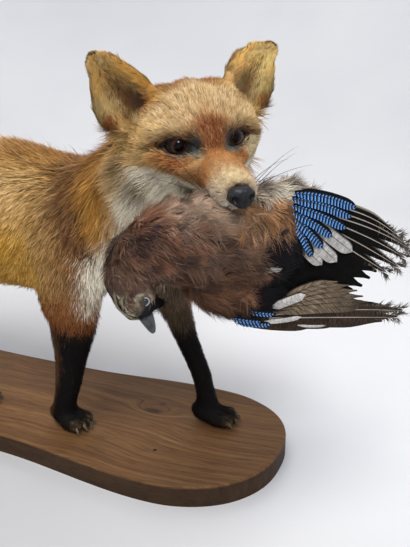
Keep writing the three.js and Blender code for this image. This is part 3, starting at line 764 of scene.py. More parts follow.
# The face is divided once more, for the lids and the markings round them.
def finerFace(mesh):
    bm = bmesh.new()
    bm.from_mesh(mesh)
    bm.faces.ensure_lookup_table()
    middles = toHead(np.array([face.calc_center_median() for face in bm.faces]) / mm)
    x, y, z = middles.T
    onFace = (x > -26) & (x < 66) & (np.abs(y) < 52) & (z > -48) & (z < 34)
    edges = {edge for index in np.nonzero(onFace)[0] for edge in bm.faces[index].edges}
    bmesh.ops.subdivide_edges(bm, edges=list(edges), cuts=1, use_grid_fill=True, smooth=0.6)
    return meshFromBmesh("skin", bm)


def makeSkin():
    bm = swollenCopies(fleshNodes, skin["bridge"])
    fillSockets(bm)
    mesh = meshFromBmesh("skin", bm)
    mesh = withModifier(mesh, "REMESH", mode="VOXEL", voxel_size=skin["voxel"])
    points = coordinates(mesh) / mm
    onFeet = ease(60, 40, points[:, 2])
    bodyShare = np.clip((1 - headShare(points)) * (1 - onFeet), 0, 1)
    headSoft = np.clip(1 - earShare(toHead(points)) * 0.75, 0.2, 1)
    mesh = withModifier(mesh, "SMOOTH", bodyShare, factor=0.5, iterations=skin["bodySoft"])
    mesh = withModifier(mesh, "SMOOTH", headSoft, factor=0.5, iterations=skin["headSoft"])
    mesh = finerFace(mesh)
    points = coordinates(mesh) / mm
    depth = coatField(points)[2]
    near, between = toeShares(points)
    withers, buttocks = skin["withers"], skin["buttocks"]
    depth = depth + withers["dip"] * blob(points, withers["place"], withers["size"], 0.5)
    depth = depth + between * skin["toeCleft"] - near * skin["toeSwell"]
    # The buttocks slope forwards to the thighs.
    slope = blob(points, buttocks["place"], buttocks["size"], 0.85)
    points = points + slope[:, None] * np.array(buttocks["slope"])
    points = points - vertexNormals(mesh) * depth[:, None]
    points = shapeLids(shapeEars(points))
    setCoordinates(mesh, points * mm)
    setColours(mesh, markings(points))
    smoothFaces(mesh)
    return mesh


# Tanned skin under short hair: matt, a little darker than the hair, with fine streaks.
def skinMaterial():
    material = newMaterial("haired skin")
    texture = addNode(material, "TexCoord")
    colour = addNode(material, "VertexColor", layer_name="coat")
    streaks = addNode(
        material, "TexNoise",
        {"Vector": texture.outputs["Object"], "Scale": 420.0, "Detail": 4.0, "Roughness": 0.6},
    )
    shade = addNode(material, "MapRange", {"Value": streaks, "To Min": 0.62, "To Max": 1.0})
    toned = addNode(material, "VectorMath", {0: colour, "Scale": shade}, operation="SCALE")
    bump = addNode(material, "Bump", {"Height": streaks, "Strength": 0.35, "Distance": 0.5 * mm})
    surface = addNode(
        material, "BsdfPrincipled",
        {"Base Color": toned, "Roughness": 0.8, "Specular IOR Level": 0.25, "Normal": bump},
    )
    addNode(material, "OutputMaterial", {"Surface": surface})
    return material


skinMesh = makeSkin()
skinPoints = coordinates(skinMesh) / mm
skinPiece = finishPiece("fox_skin", skinMesh, skinMaterial(), fleshNodes)
print("skin", len(skinMesh.polygons), "faces")


def unwrap(piece, layerName):
    for other in bpy.context.selected_objects:
        other.select_set(False)
    bpy.context.view_layer.objects.active = piece
    piece.select_set(True)
    piece.data.uv_layers.new(name=layerName)
    bpy.ops.object.mode_set(mode="EDIT")
    bpy.ops.mesh.select_all(action="SELECT")
    bpy.ops.uv.smart_project(angle_limit=math.radians(66), island_margin=0.002)
    bpy.ops.object.mode_set(mode="OBJECT")
    piece.select_set(False)


unwrap(skinPiece, "OFBake")


# The skin as loose triangles, from which roots of hair are drawn.
def surfaceOf(mesh):
    mesh.calc_loop_triangles()
    count = len(mesh.loop_triangles)
    corners = np.empty(count * 3, np.int64)
    mesh.loop_triangles.foreach_get("vertices", corners)
    loops = np.empty(count * 3, np.int64)
    mesh.loop_triangles.foreach_get("loops", loops)
    uv = np.empty(len(mesh.loops) * 2)
    mesh.uv_layers["OFBake"].uv.foreach_get("vector", uv)
    return {
        "points": coordinates(mesh) / mm, "normals": vertexNormals(mesh),
        "corners": corners.reshape(-1, 3), "uv": uv.reshape(-1, 2)[loops].reshape(-1, 3, 2),
    }


def drawRoots(surface, weights, count):
    a, b, c = (surface["points"][surface["corners"][:, i]] for i in range(3))
    areas = np.linalg.norm(np.cross(b - a, c - a), axis=1) / 2
    total = np.cumsum(areas * weights)
    picks = np.searchsorted(total, chance.random(count) * total[-1])
    first, second = np.sqrt(chance.random(count)), chance.random(count)
    shares = np.column_stack([1 - first, first * (1 - second), first * second])
    corners = surface["corners"][picks]
    place = (surface["points"][corners] * shares[:, :, None]).sum(1)
    normal = unit((surface["normals"][corners] * shares[:, :, None]).sum(1))
    uv = (surface["uv"][picks] * shares[:, :, None]).sum(1)
    return place, normal, uv


def meshFromArrays(name, points, triangles, colours, uv, normals):
    mesh = bpy.data.meshes.new(name)
    mesh.vertices.add(len(points))
    mesh.vertices.foreach_set("co", (points * mm).ravel())
    mesh.loops.add(triangles.size)
    mesh.loops.foreach_set("vertex_index", triangles.ravel().astype(np.int32))
    mesh.polygons.add(len(triangles))
    mesh.polygons.foreach_set("loop_start", np.arange(0, triangles.size, 3, dtype=np.int32))
    mesh.update(calc_edges=True)
    setColours(mesh, colours)
    mesh.uv_layers.new(name="OFBake").uv.foreach_set("vector", uv[triangles.ravel()].ravel())
    smoothFaces(mesh)
    mesh.normals_split_custom_set_from_vertices(normals)
    return mesh


blade = {"patch": 0.003, "sunk": 0.25, "arch": 1.6, "taper": 2.2, "roundness": 0.35}


# Blades of hair from arrays: each is a thin strip of a few steps that ends in a point. On the map for
# baking each blade is a small patch at its root's place.
def bladeMesh(
    name, roots, normals, lie, uv, rootColour, tipColour, length, width, height, steps, bend, lean
):
    count = len(roots)
    across = unit(np.cross(lie, normals))
    lie = unit(np.cross(normals, across))
    reach = length * np.sqrt(1 - np.clip(height / length, 0, 0.95) ** 2)
    rows, colours, patches, shades = [], [], [], []
    for level in np.linspace(0, 1, steps + 1):
        middle = (
            roots + lie * (reach * level)[:, None]
            + normals * (height * (1 - (1 - level) ** blade["arch"]) - blade["sunk"])[:, None]
            + across * (bend * level**2)[:, None] + lean * level**1.5
        )
        half = width * (1 - level ** blade["taper"]) / 2 * (0.75 + 0.25 * np.sin(level * math.pi))
        for edge in (-1, 1) if level < 1 else (0,):
            rows.append(middle + across * (half * edge)[:, None])
            colours.append(mixed(rootColour, tipColour, level**0.8))
            patches.append(uv + (blade["patch"] / 2 * edge, (level - 0.5) * blade["patch"]))
            shades.append(unit(normals + across * blade["roundness"] * edge))
    triangles = []
    for low in range(0, 2 * steps - 2, 2):
        triangles += [(low, low + 1, low + 3), (low, low + 3, low + 2)]
    triangles.append((2 * steps - 2, 2 * steps - 1, 2 * steps))
    faces = (np.array(triangles)[None] + np.arange(count)[:, None, None] * len(rows)).reshape(-1, 3)
    points, colours, patches, shades = (
        np.stack(rowsOf, 1).reshape(count * len(rows), -1) for rowsOf in (rows, colours, patches, shades)
    )
    return meshFromArrays(name, points, faces, colours, patches, shades)


# Neighbours share a lock: its number, and the middle of its members.
def locksOf(points, size):
    jitter = chance.random(3) * size
    cells = np.floor((points + jitter) / size).astype(np.int64)
    key = cells @ np.array([73856093, 19349663, 83492791])
    labels, index, counts = np.unique(key, return_inverse=True, return_counts=True)
    middles = np.stack([np.bincount(index, points[:, i]) / counts for i in range(3)], 1)
    return index, len(labels), middles[index]


# Each piece of the coat: how many blades, steps along each, width in mm, size of its locks, and how far
# the tips of a lock draw together.
coatPieces = {
    "coat_head": {"blades": 66000, "steps": 2, "width": 0.7, "lock": 2.8, "draw": 0.5},
    "coat_ears": {"blades": 28000, "steps": 2, "width": 0.65, "lock": 3, "draw": 0.4},
    "coat_neck": {"blades": 39000, "steps": 3, "width": 1.05, "lock": 6.5, "draw": 0.45},
    "coat_shoulders": {"blades": 39000, "steps": 3, "width": 1.05, "lock": 6, "draw": 0.4},
    "coat_flanks": {"blades": 37000, "steps": 3, "width": 1.15, "lock": 7, "draw": 0.42},
    "coat_rump": {"blades": 30000, "steps": 3, "width": 1.3, "lock": 9, "draw": 0.5},
    "coat_tail": {"blades": 32000, "steps": 3, "width": 1.5, "lock": 11, "draw": 0.45},
    "coat_legs": {"blades": 52000, "steps": 2, "width": 0.85, "lock": 4, "draw": 0.35},
}
# How the hairs differ from each other and from lock to lock, and how many end pale or dark.
hair = {
    "lockTone": 0.09, "tone": 0.1, "length": (0.7, 1.12), "swing": 0.16, "lockSwing": 0.14,
    "height": (0.55, 1.12), "tall": 0.015, "tallBy": 1.5, "width": (0.7, 1.25), "bend": 0.07,
    "stray": (5, 1.4), "pale": 0.42, "dark": 0.24, "darkness": (0.45, 0.6), "alike": (0.3, 0.6),
    "fluff": {"place": (60, -15, -28), "size": (11, 8, 10), "by": 1.6},  # at the lip, over the jay
}


def coatRegion(points):
    x, z = points[:, 0], points[:, 2]
    onHead = headShare(points) > 0.5
    onEars = (earShare(toHead(points)) > 0.5) & onHead
    tail = (x < -215) & (z > 140) & ~((z < 236) & (x > -300))
    legs = (z < 172) & ~tail
    region = np.full(len(points), "coat_flanks", dtype=object)
    region[x > 62] = "coat_shoulders"
    region[x <= -90] = "coat_rump"
    region[(x > 190) | ((x > 150) & (z > 300))] = "coat_neck"
    region[legs] = "coat_legs"
    region[tail] = "coat_tail"
    region[onHead] = "coat_head"
    region[onEars] = "coat_ears"
    return region


# Bare places: the openings of the eyes, the nose's root and the soles.
def hairShare(points):
    p = toHead(points)
    share = np.ones(len(points))
    for side in (1, -1):
        u, v, w, half, outside = aroundEye(p, side, 1.5)
        share[(outside < 1.2) & (np.abs(u) < half) & (np.abs(w) < 16)] = 0
        share *= 1 - blob(p, np.array(haw["place"]) * (1, side, 1), np.array(haw["size"]) + 0.5, 0.15)
        share *= 1 - blob(p, np.array(haw["above"]) * (1, side, 1), haw["aboveBare"], 0.3) * 0.9
    share[(p[:, 0] > 67) & (p[:, 2] > -42)] = 0
    share[points[:, 2] < 25] = 0
    return share


# How strongly dark and pale hairs are mixed in.
def grizzle(points):
    q = folded(toHead(points))
    onHead = headShare(points)
    face = blob(q, (-12, 0, 30), (30, 44, 26), 0.4) + blob(q, (-36, 48, 2), (24, 20, 24), 0.4) * 0.8
    body = points - (0, trunkMiddle, 0)
    trunk = 0.45 + 0.35 * blob(body, (150, 0, 280), (70, 110, 90), 0.4)
    trunk = trunk + 0.3 * ease(320, 345, points[:, 2])
    black = ease(190, 165, points[:, 2])
    return np.clip(face * onHead + trunk * (1 - onHead) * (1 - black) + 0.04, 0, 1)


# Dry guard hair: matt from afar, with a faint sheen and small differences from hair to hair.
def furMaterial():
    material = newMaterial("dry fox hair")
    texture = addNode(material, "TexCoord")
    colour = addNode(material, "VertexColor", layer_name="coat")
    hairs = addNode(
        material, "TexNoise", {"Vector": texture.outputs["Object"], "Scale": 260.0, "Detail": 2.0}
    )
    shade = addNode(material, "MapRange", {"Value": hairs, "To Min": 0.82, "To Max": 1.18})
    toned = addNode(material, "VectorMath", {0: colour, "Scale": shade}, operation="SCALE")
    surface = addNode(
        material, "BsdfPrincipled", {"Base Color": toned, "Roughness": 0.75, "Specular IOR Level": 0.14}
    )
    addNode(material, "OutputMaterial", {"Surface": surface})
    return material


def makeCoat(material):
    surface = surfaceOf(skinMesh)
    middles = surface["points"][surface["corners"]].mean(1)
    regions = coatRegion(middles)
    thickness = hairShare(middles)
    lengths = coatField(middles)[1]
    for name, piece in coatPieces.items():
        weights = (regions == name) * thickness * np.clip(12 / lengths, 0.5, 2.2)
        count = int(piece["blades"] * detail)
        roots, normals, uv = drawRoots(surface, weights, count)
        lie, length, depth = coatField(roots)
        onHead = headShare(roots)
        lock, lockCount, lockMiddle = locksOf(roots, piece["lock"])
        lockTone = chance.normal(1, hair["lockTone"], lockCount)[lock]
        hairTone = lockTone * chance.normal(1, hair["tone"], count)
        length = length * chance.uniform(*hair["length"], count)
        tangent = unit(lengthwise(lie, normals))
        swing = chance.normal(0, hair["swing"], count)
        swing = swing + chance.normal(0, hair["lockSwing"], lockCount)[lock]
        lie = unit(tangent + np.cross(normals, tangent) * swing[:, None])
        # A hair can't lie along a guide that runs into the skin, so the height carries the rest.
        height = depth * chance.uniform(*hair["height"], count)
        tall = chance.random(count) < hair["tall"] * (1 - onHead)
        height = np.where(tall, height * hair["tallBy"], height)
        fluff = hair["fluff"]
        height = height * (1 + fluff["by"] * blob(toHead(roots), fluff["place"], fluff["size"], 0.6))
        lean = lengthwise((lockMiddle - roots) * piece["draw"], normals)
        # A hair takes its colour from a little way off, so that borders are ragged.
        stray = mixed(*hair["stray"], onHead) * ease(20, 190, roots[:, 2])
        base = markings(roots + chance.normal(0, 1, (count, 3)) * stray[:, None])
        mixIn = grizzle(roots)
        alike = chance.random(count) < mixed(*hair["alike"], onHead)
        lucky = np.where(alike, chance.random(lockCount)[lock], chance.random(count))
        tips = base * hairTone[:, None]
        tips = np.where((lucky < hair["pale"] * mixIn)[:, None], tips**0.74 * 1.1, tips)
        dark = (lucky > 1 - hair["dark"] * mixIn)[:, None]
        tips = np.where(dark, tips * mixed(*hair["darkness"], onHead)[:, None], tips)
        width = piece["width"] * chance.uniform(*hair["width"], count) / math.sqrt(detail)
        bend = length * chance.normal(0, hair["bend"], count)
        # Roots are half as bright as the tips: partly the darker underfur, partly painted shade deep in
        # the coat.
        mesh = bladeMesh(
            name, roots, normals, lie, uv, base * 0.5 * lockTone[:, None], np.clip(tips, 0, 1),
            length, width, height, piece["steps"], bend, lean,
        )
        finishPiece(name, mesh, material)
        print(name, len(mesh.polygons), "triangles")


coatMaterial = furMaterial()
makeCoat(coatMaterial)

# The jay, in the head's frame. Its body is drawn through rings, from the tail's root to the beak:
# a ring's middle, and its half sizes across the bird and up.
jay = {
    "bodyRings": [
        ((50, 66, -66), 9, 15), ((48, 48, -72), 17, 28), ((47, 26, -80), 23, 34),
        ((46, -4, -74), 27, 39), ((47, -34, -64), 28, 36), ((52, -62, -62), 26, 29),
        ((59, -84, -66), 21, 21), ((64, -92, -76), 16, 16),
    ],
    "headRings": [
        ((60, -84, -62), 17, 15), ((67, -92, -78), 15, 17), ((71, -88, -93), 13, 15),
        ((72, -87, -105), 8, 9),
    ],
    "chinRings": [((69, -84, -96), 8, 8), ((68, -77, -99), 6.5, 6), ((66, -70, -99), 4, 4)],
    "lowRings": [
        ((48, -40, -92), 16, 12), ((50, -26, -106), 17, 14), ((52, 0, -117), 16, 18),
        ((48, 34, -122), 13, 16), ((46, 62, -128), 9, 12), ((46, 84, -136), 5, 6),
    ],
    "topRings": [
        ((42, 14, -54), 10, 10), ((38, 34, -47), 15, 13), ((38, 52, -46), 13, 11), ((42, 66, -50), 6, 5),
    ],
    "voxel": 1.6 * mm, "soft": 8, "ruffle": 2.2,
    "eye": (80.5, -83.5, -89.5), "eyeRadius": 2.6, "lidRing": (1.2, 3.0, 0.6),
    "gape": {
        "down": (97, 105, 112, 118, 121), "y": (-85.6, -83, -80.4, -78.8, -78.4), "x": 72.5,
        "deep": 0.5, "wide": 0.45,
    },
    "beakRings": [
        ((72, -85, -97), 5.5, 6.8), ((72, -83, -105), 4.8, 6.0), ((72.5, -80.8, -112), 3.7, 4.6),
        ((73, -79.4, -118), 2.3, 3.0), ((73, -78.8, -121), 0.8, 1.2),
    ],
}
plumage = {
    "body": "6d5342", "breast": "7f5742", "nape": "5c4136", "crownPale": "baad90", "crownDark": "151315",
    "gold": "a57850", "mantle": "a08874", "golden": "7a553e", "greyFluff": "c6b8a5", "spot": "211e25",
    "belly": "5d4230", "moustache": "0b0a0c", "eyeRing": "93979c", "shade": "141113", "throat": "b7a994",
    "paleTip": "b79d84", "barb": "5e564e",
}
# The border between the brown down and the black wing: y at a height. And the middle of the cheek.
jayBorder = {"z": (-132, -126, -122, -94, -66, -60), "y": (-34, -24, -8, 11, 6, 18)}
jayCheek = (-86, -87)


def ringTube(bm, rings, sides=20):
    middles = [Vector(ring[0]) for ring in rings]
    loops = []
    for i, (middle, wide, high) in enumerate(rings):
        ahead = (middles[min(i + 1, len(rings) - 1)] - middles[max(i - 1, 0)]).normalized()
        across = (Vector((1, 0, 0)) - ahead * ahead.x).normalized()
        turn = Matrix((across, ahead.cross(across), ahead)).transposed().to_4x4()
        made = bmesh.ops.create_circle(
            bm, cap_ends=i in (0, len(rings) - 1), segments=sides, radius=1,
            matrix=Matrix.Translation(middle) @ turn @ Matrix.Diagonal((wide, high, 1, 1)),
        )
        loops.append(made["verts"])
    for pair in zip(loops, loops[1:]):
        edges = set()
        for loop in pair:
            edges |= {e for v in loop for e in v.link_edges if all(end in loop for end in e.verts)}
        bmesh.ops.bridge_loops(bm, edges=list(edges))
    bmesh.ops.recalc_face_normals(bm, faces=bm.faces)


def headToWorld(bm):
    place = Matrix.Translation(Vector(head["place"]) * mm) @ headTurn.to_4x4() @ Matrix.Scale(mm, 4)
    bmesh.ops.transform(bm, matrix=place, verts=bm.verts)


def jayMarkings(points):
    p = toHead(points)
    x, y, z = p.T
    border = np.interp(z, jayBorder["z"], jayBorder["y"])
    onWing = ease(-3, 3, y - border + waver(p, 7) * 5) * ease(-53, -65, z + waver(p + 9, 4.5) * 5)
    tufted = blob(p, (62, -30, -44), (40, 46, 26), 0.6)
    layers = [
        (blob(p, (66, -62, -48), (30, 30, 22)), "breast"),
        (ease(-76, -90, z) * ease(-50, -70, y), "nape"),
        (blob(p, (60, -20, -100), (40, 46, 18)) * 0.8, "golden"),
        (blob(p, (50, -8, -118), (30, 40, 14)) * 0.7, "belly"),
        (blob(p, (62, 14, -43), (30, 32, 17), 0.5), "gold"),
        (ease(-37, -30, z - (x - 66) * 0.3 + waver(p, 6) * 3) * ease(4, 16, y), "greyFluff"),
        (onWing, "shade"),
        (tufted * ease(0.05, 0.5, waver(p + 40, 8)) * 0.28, "greyFluff"),
        (blob(p, (50, -28, -36), (40, 34, 18)) * 0.75 * ease(14, -2, y), "mantle"),
        (ease(0.15, 0.6, waver(p + 15, 9)) * 0.6, "spot"),
    ]
    for spot in ((72, -85, -48), (72, -75, -44), (72, -54, -18)):
        layers.append((blob(p, spot, (24, 4, 4.5)) * 0.75, "spot"))
    fromCheek = np.hypot(y - jayCheek[0], z - jayCheek[1])
    crown = ease(9.5, 12.5, fromCheek) * ease(-80, -87, z) * ease(-78, -84, y)
    stripes = 0.5 + 0.5 * np.sin(fromCheek * 1.7 + waver(p, 9))
    layers += [
        (crown, "crownPale"),
        (crown * ease(0.45, 0.65, stripes), "crownDark"),
        (blob(p, (78, -84, -99), (8, 6, 4)) * 0.7, "throat"),
        (blob(p, jay["eye"], (12, 7.5, 7.5), 0.4) * (0.55 + 0.6 * waver(p, 1.6)), "crownPale"),
        (blob(p, (70, -79, -99), (24, 11.5, 8.5), 0.25), "moustache"),
        (blob(p, jay["eye"], (12, 5, 5), 0.3) * 0.8, "shade"),
    ]
    # Large patches of painted light and shade over the plumage, as on ruffled, shadowed locks.
    return painted(tint(plumage["body"]), plumage, layers) * (1 + 0.28 * waver(p, 13))[:, None]


def jayCover(points):
    p = toHead(points)
    bare = blob(p, jay["eye"], (12, 4.6, 4.6), 0.1) + ease(-101, -105, p[:, 2]) * ease(-66, -80, p[:, 1])
    farWing = ease(30, 46, p[:, 1]) * ease(-96, -106, p[:, 2])
    return np.clip(1 - bare - farWing, 0, 1)


def jayField(points):
    p = toHead(points)
    y, z = p[:, 1:].T
    onHeadPart = ease(-54, -70, y) * ease(-60, -76, z)
    lie = np.tile((0.1, 1.0, -0.35), (len(points), 1))
    lie = lie + ease(-40, -90, y)[:, None] * np.array((0.1, -0.5, -0.5))
    roundCheek = unit(np.column_stack([y * 0, z - jayCheek[1], jayCheek[0] - y]))
    lie = lie * (1 - onHeadPart[:, None]) + roundCheek * onHeadPart[:, None]
    gold = blob(p, (62, 20, -44), (30, 26, 20))
    lie = lie + gold[:, None] * np.array((0.2, -0.6, -0.5))
    beard = blob(p, (68, -76, -99), (20, 11, 9))
    lie = lie * (1 - beard[:, None]) + beard[:, None] * np.array((0.2, 1, -0.1))
    pressed = ease(-52, -40, z) * ease(16, 2, y) * ease(-64, -50, y)
    length = (17 - 12.5 * onHeadPart + 2.5 * beard) * (1 - 0.4 * pressed)
    return unit(lie @ headAxes.T), length, (0.16 - 0.06 * onHeadPart) * length


def makeJayBody():
    bm = bmesh.new()
    for part in ("bodyRings", "headRings", "chinRings", "lowRings", "topRings"):
        ringTube(bm, jay[part])
    headToWorld(bm)
    mesh = withModifier(meshFromBmesh("jay", bm), "REMESH", mode="VOXEL", voxel_size=jay["voxel"])
    mesh = withModifier(mesh, "SMOOTH", factor=0.5, iterations=jay["soft"])
    points = coordinates(mesh) / mm
    ruffle = waver(toHead(points), 11) * jay["ruffle"] * ease(-84, -70, toHead(points)[:, 2])
    points = points + vertexNormals(mesh) * ruffle[:, None]
    setCoordinates(mesh, points * mm)
    setColours(mesh, jayMarkings(points) * 0.6)
    smoothFaces(mesh)
    piece = finishPiece("jay_body", mesh, skinMaterial(), ["jay"])
    unwrap(piece, "OFBake")
    return piece


# Two layers of down: a close one, and longer strands that stand loose.
down = {
    "jay_down": {"blades": 60000, "width": 0.7, "stretch": 1, "steps": 2},
    "jay_loose_down": {"blades": 7000, "width": 0.65, "stretch": 1.3, "steps": 3},
    "lock": 8.5, "draw": 0.6, "lockTone": 0.2, "lockSwing": 0.6, "pale": 0.07, "lockCurl": 0.2,
}


# Down and contour feathers, drawn as fine wavy strands that the jaws have ruffled.
def makeJayDown(piece, material):
    surface = surfaceOf(piece.data)
    cover = jayCover(surface["points"][surface["corners"]].mean(1))
    for name in ("jay_down", "jay_loose_down"):
        layer = down[name]
        count = int(layer["blades"] * detail)
        roots, normals, uv = drawRoots(surface, cover, count)
        lie, length, depth = jayField(roots)
        lock, lockCount, lockMiddle = locksOf(roots, down["lock"])
        length = length * chance.uniform(0.6, 1.15, count) * layer["stretch"]
        inHead = toHead(roots)
        calm = 1 - 0.8 * ease(-60, -72, inHead[:, 1]) * ease(-62, -78, inHead[:, 2])
        swing = chance.normal(0, 0.16, count)
        swing = (swing + chance.normal(0, down["lockSwing"], lockCount)[lock]) * calm
        tangent = unit(lengthwise(lie, normals))
        lie = unit(tangent + np.cross(normals, tangent) * swing[:, None])
        tone = chance.normal(1, down["lockTone"], lockCount)[lock] * chance.normal(1, 0.07, count)
        base = jayMarkings(roots)
        tips = base * tone[:, None]
        pale = (chance.random(count) < down["pale"]) & (base.sum(1) > 0.15)
        tips[pale] = mixed(tips[pale], tint(plumage["paleTip"]), 0.35)
        lift = depth * chance.uniform(0.5, 1.5, lockCount)[lock] * chance.uniform(0.7, 1.25, count)
        curl = chance.normal(0, down["lockCurl"], lockCount)[lock] + chance.normal(0, 0.07, count)
        width = layer["width"] * chance.uniform(0.6, 1.3, count) / math.sqrt(detail)
        mesh = bladeMesh(
            name, roots, normals, lie, uv, base * 0.55 * tone[:, None], np.clip(tips, 0, 0.68),
            length, width, lift * layer["stretch"], layer["steps"], length * curl * calm,
            (lockMiddle - roots) * down["draw"],
        )
        finishPiece(name, mesh, material)
        print(name, len(mesh.polygons), "triangles")


# Feathers: root and tip as (y, z) in the head's frame, width, how far towards the viewer's side the tip
# lies (x), and how far the shaft bows.
blueVanes = [
    ((-14, -126), (8, -133), 5, 72.4, 0), ((-10, -131), (17, -138), 5, 71.8, 0),
    ((0, -123), (20, -129), 5, 72.8, 0), ((42, -33), (93, -53), 9, 74.0, 2.5),
    ((40, -37), (89, -60), 8.5, 73.2, 2), ((41, -43), (85, -69), 8.5, 72.4, 1.5),
    ((42, -49), (73, -74), 8, 71.6, 1), ((44, -55), (65, -82), 8, 70.8, 0.5),
    ((45, -61), (56, -88), 7, 70.0, 0),
]
whiteVanes = [
    ((60, -59), (93, -92), 12.5, 68.6, -1), ((53, -66), (79, -98), 12, 68.0, -1),
    ((47, -74), (66, -98), 10, 67.4, -1),
]
primaries = [
    ((76, -50), (137, -88), 10, 67.0, 4), ((75, -54), (144, -96), 10, 66.4, 3.5),
    ((74, -58), (151, -103), 10, 65.8, 3), ((72, -62), (146, -110), 10.5, 65.2, 2),
    ((70, -66), (141, -118), 10.5, 64.6, 1), ((66, -70), (129, -120), 11, 64.0, 0),
]
secondaries = [
    ((52, -72), (119, -117), 14, 63.4, 0), ((44, -75), (113, -122), 15, 62.8, -1),
    ((36, -78), (106, -128), 16, 62.2, -2), ((28, -80), (97, -130), 17, 61.6, -3),
    ((20, -84), (84, -130), 18, 61.0, -3), ((12, -88), (66, -128), 18, 60.4, -3),
    ((5, -92), (46, -122), 18, 59.8, -3), ((14, -70), (48, -98), 14, 66.0, -2),
    ((20, -60), (52, -88), 12, 66.8, -2),
]
lowerCoverts = [
    ((32, -122), (80, -116), 8, 67.0, 4), ((31, -124), (91, -122), 8, 66.4, 4),
    ((30, -126), (99, -129), 9, 65.8, 3.5), ((28, -128), (105, -136), 9, 65.2, 3),
    ((26, -130), (110, -143), 10, 64.6, 2.5), ((24, -132), (118, -149), 11, 64.0, 2),
]
lowerPrimaries = [
    ((30, -134), (130, -154), 13, 63.4, 3), ((26, -136), (146, -160), 14, 62.8, 3),
    ((20, -138), (142, -166), 13, 62.2, 1), ((12, -138), (127, -167), 12, 61.6, 0),
    ((2, -135), (98, -161), 12, 61.0, -1), ((-8, -132), (72, -156), 12, 60.4, -2.5),
]
lowerWhite = [
    ((8, -93), (30, -92), 6, 70.5, 2), ((22, -126), (50, -120), 8, 68.6, 1),
    ((14, -138), (46, -140), 4.5, 67.8, 0), ((44, -149), (68, -154), 2.5, 67.2, 0),
]


# A feather as a grid: roofed a little along its shaft, with its barbs swept towards the tip.
def vaneGrid(store, feather, segments, columns, profile):
    (rootY, rootZ), (tipY, tipZ), width, x, bow = feather
    root = np.array([x - 3, rootY, rootZ], float)
    tip = np.array([x, tipY, tipZ], float)
    facing = unit(np.array([0.97, -0.15, 0.15]))
    along = unit(tip - root)
    across = unit(np.cross(facing, along))
    length = np.linalg.norm(tip - root)
    start = len(store["points"])
    for i in range(segments + 1):
        s = i / segments
        spine = root + along * length * s + (across * bow + facing * 2.2) * math.sin(math.pi * s)
        half = width / 2 * profile(s)
        for j in range(columns + 1):
            t = 2 * j / columns - 1
            roof = facing * (0.9 * (1 - abs(t)) * half / 5) - along * abs(t) * half * 0.35
            store["points"].append(fromHead(spine + across * half * t + roof))
            store["uv"].append((t * 0.5 + 0.5, s * length / 100))
    for i in range(segments):
        for j in range(columns):
            a = start + i * (columns + 1) + j
            b = a + columns + 1
            store["faces"] += [(a, b, b + 1), (a, b + 1, a + 1)]


def roundTip(s):
    return min(1, 0.35 + 3.2 * s) * math.sqrt(max(0, 1 - max(0, (s - 0.8) / 0.2) ** 2))


def pointedTip(s):
    return min(1, 0.4 + 3 * s) * (1 - ease(0.5, 1.04, s) * 0.85) * (1 if s < 1 else 0.1)


def wornTip(s):
    return min(1, 0.35 + 3.2 * s) * (1 - 0.85 * ease(0.7, 1.0, s))


def shaftProfile(s):
    return 1 - 0.75 * s


# The feathers of one finish; with a width they are drawn as their shafts only, lifted off the vanes.
def makeVanes(name, feathers, material, segments, profile, columns=4, lift=0.0, width=None):
    store = {"points": [], "uv": [], "faces": []}
    for root, tip, ownWidth, x, bow in feathers:
        vaneGrid(store, (root, tip, width or ownWidth, x + lift, bow), segments, columns, profile)
    mesh = bpy.data.meshes.new(name)
    mesh.from_pydata([tuple(point * mm) for point in store["points"]], [], store["faces"])
    layer = mesh.uv_layers.new(name="vane")
    for loop in mesh.loops:
        layer.uv[loop.index].vector = store["uv"][loop.vertex_index]
    smoothFaces(mesh)
    finishPiece(name, mesh, material)


vaneFinish = {"roughness": 0.75, "fine": 100, "lean": 0.06, "spread": 2.2}
blueBar = [
    (0.0, "07080d"), (0.33, "0b1020"), (0.43, "1b4c92"), (0.70, "3f84cc"), (0.87, "a3c6e2"),
    (0.95, "07080d"),
]


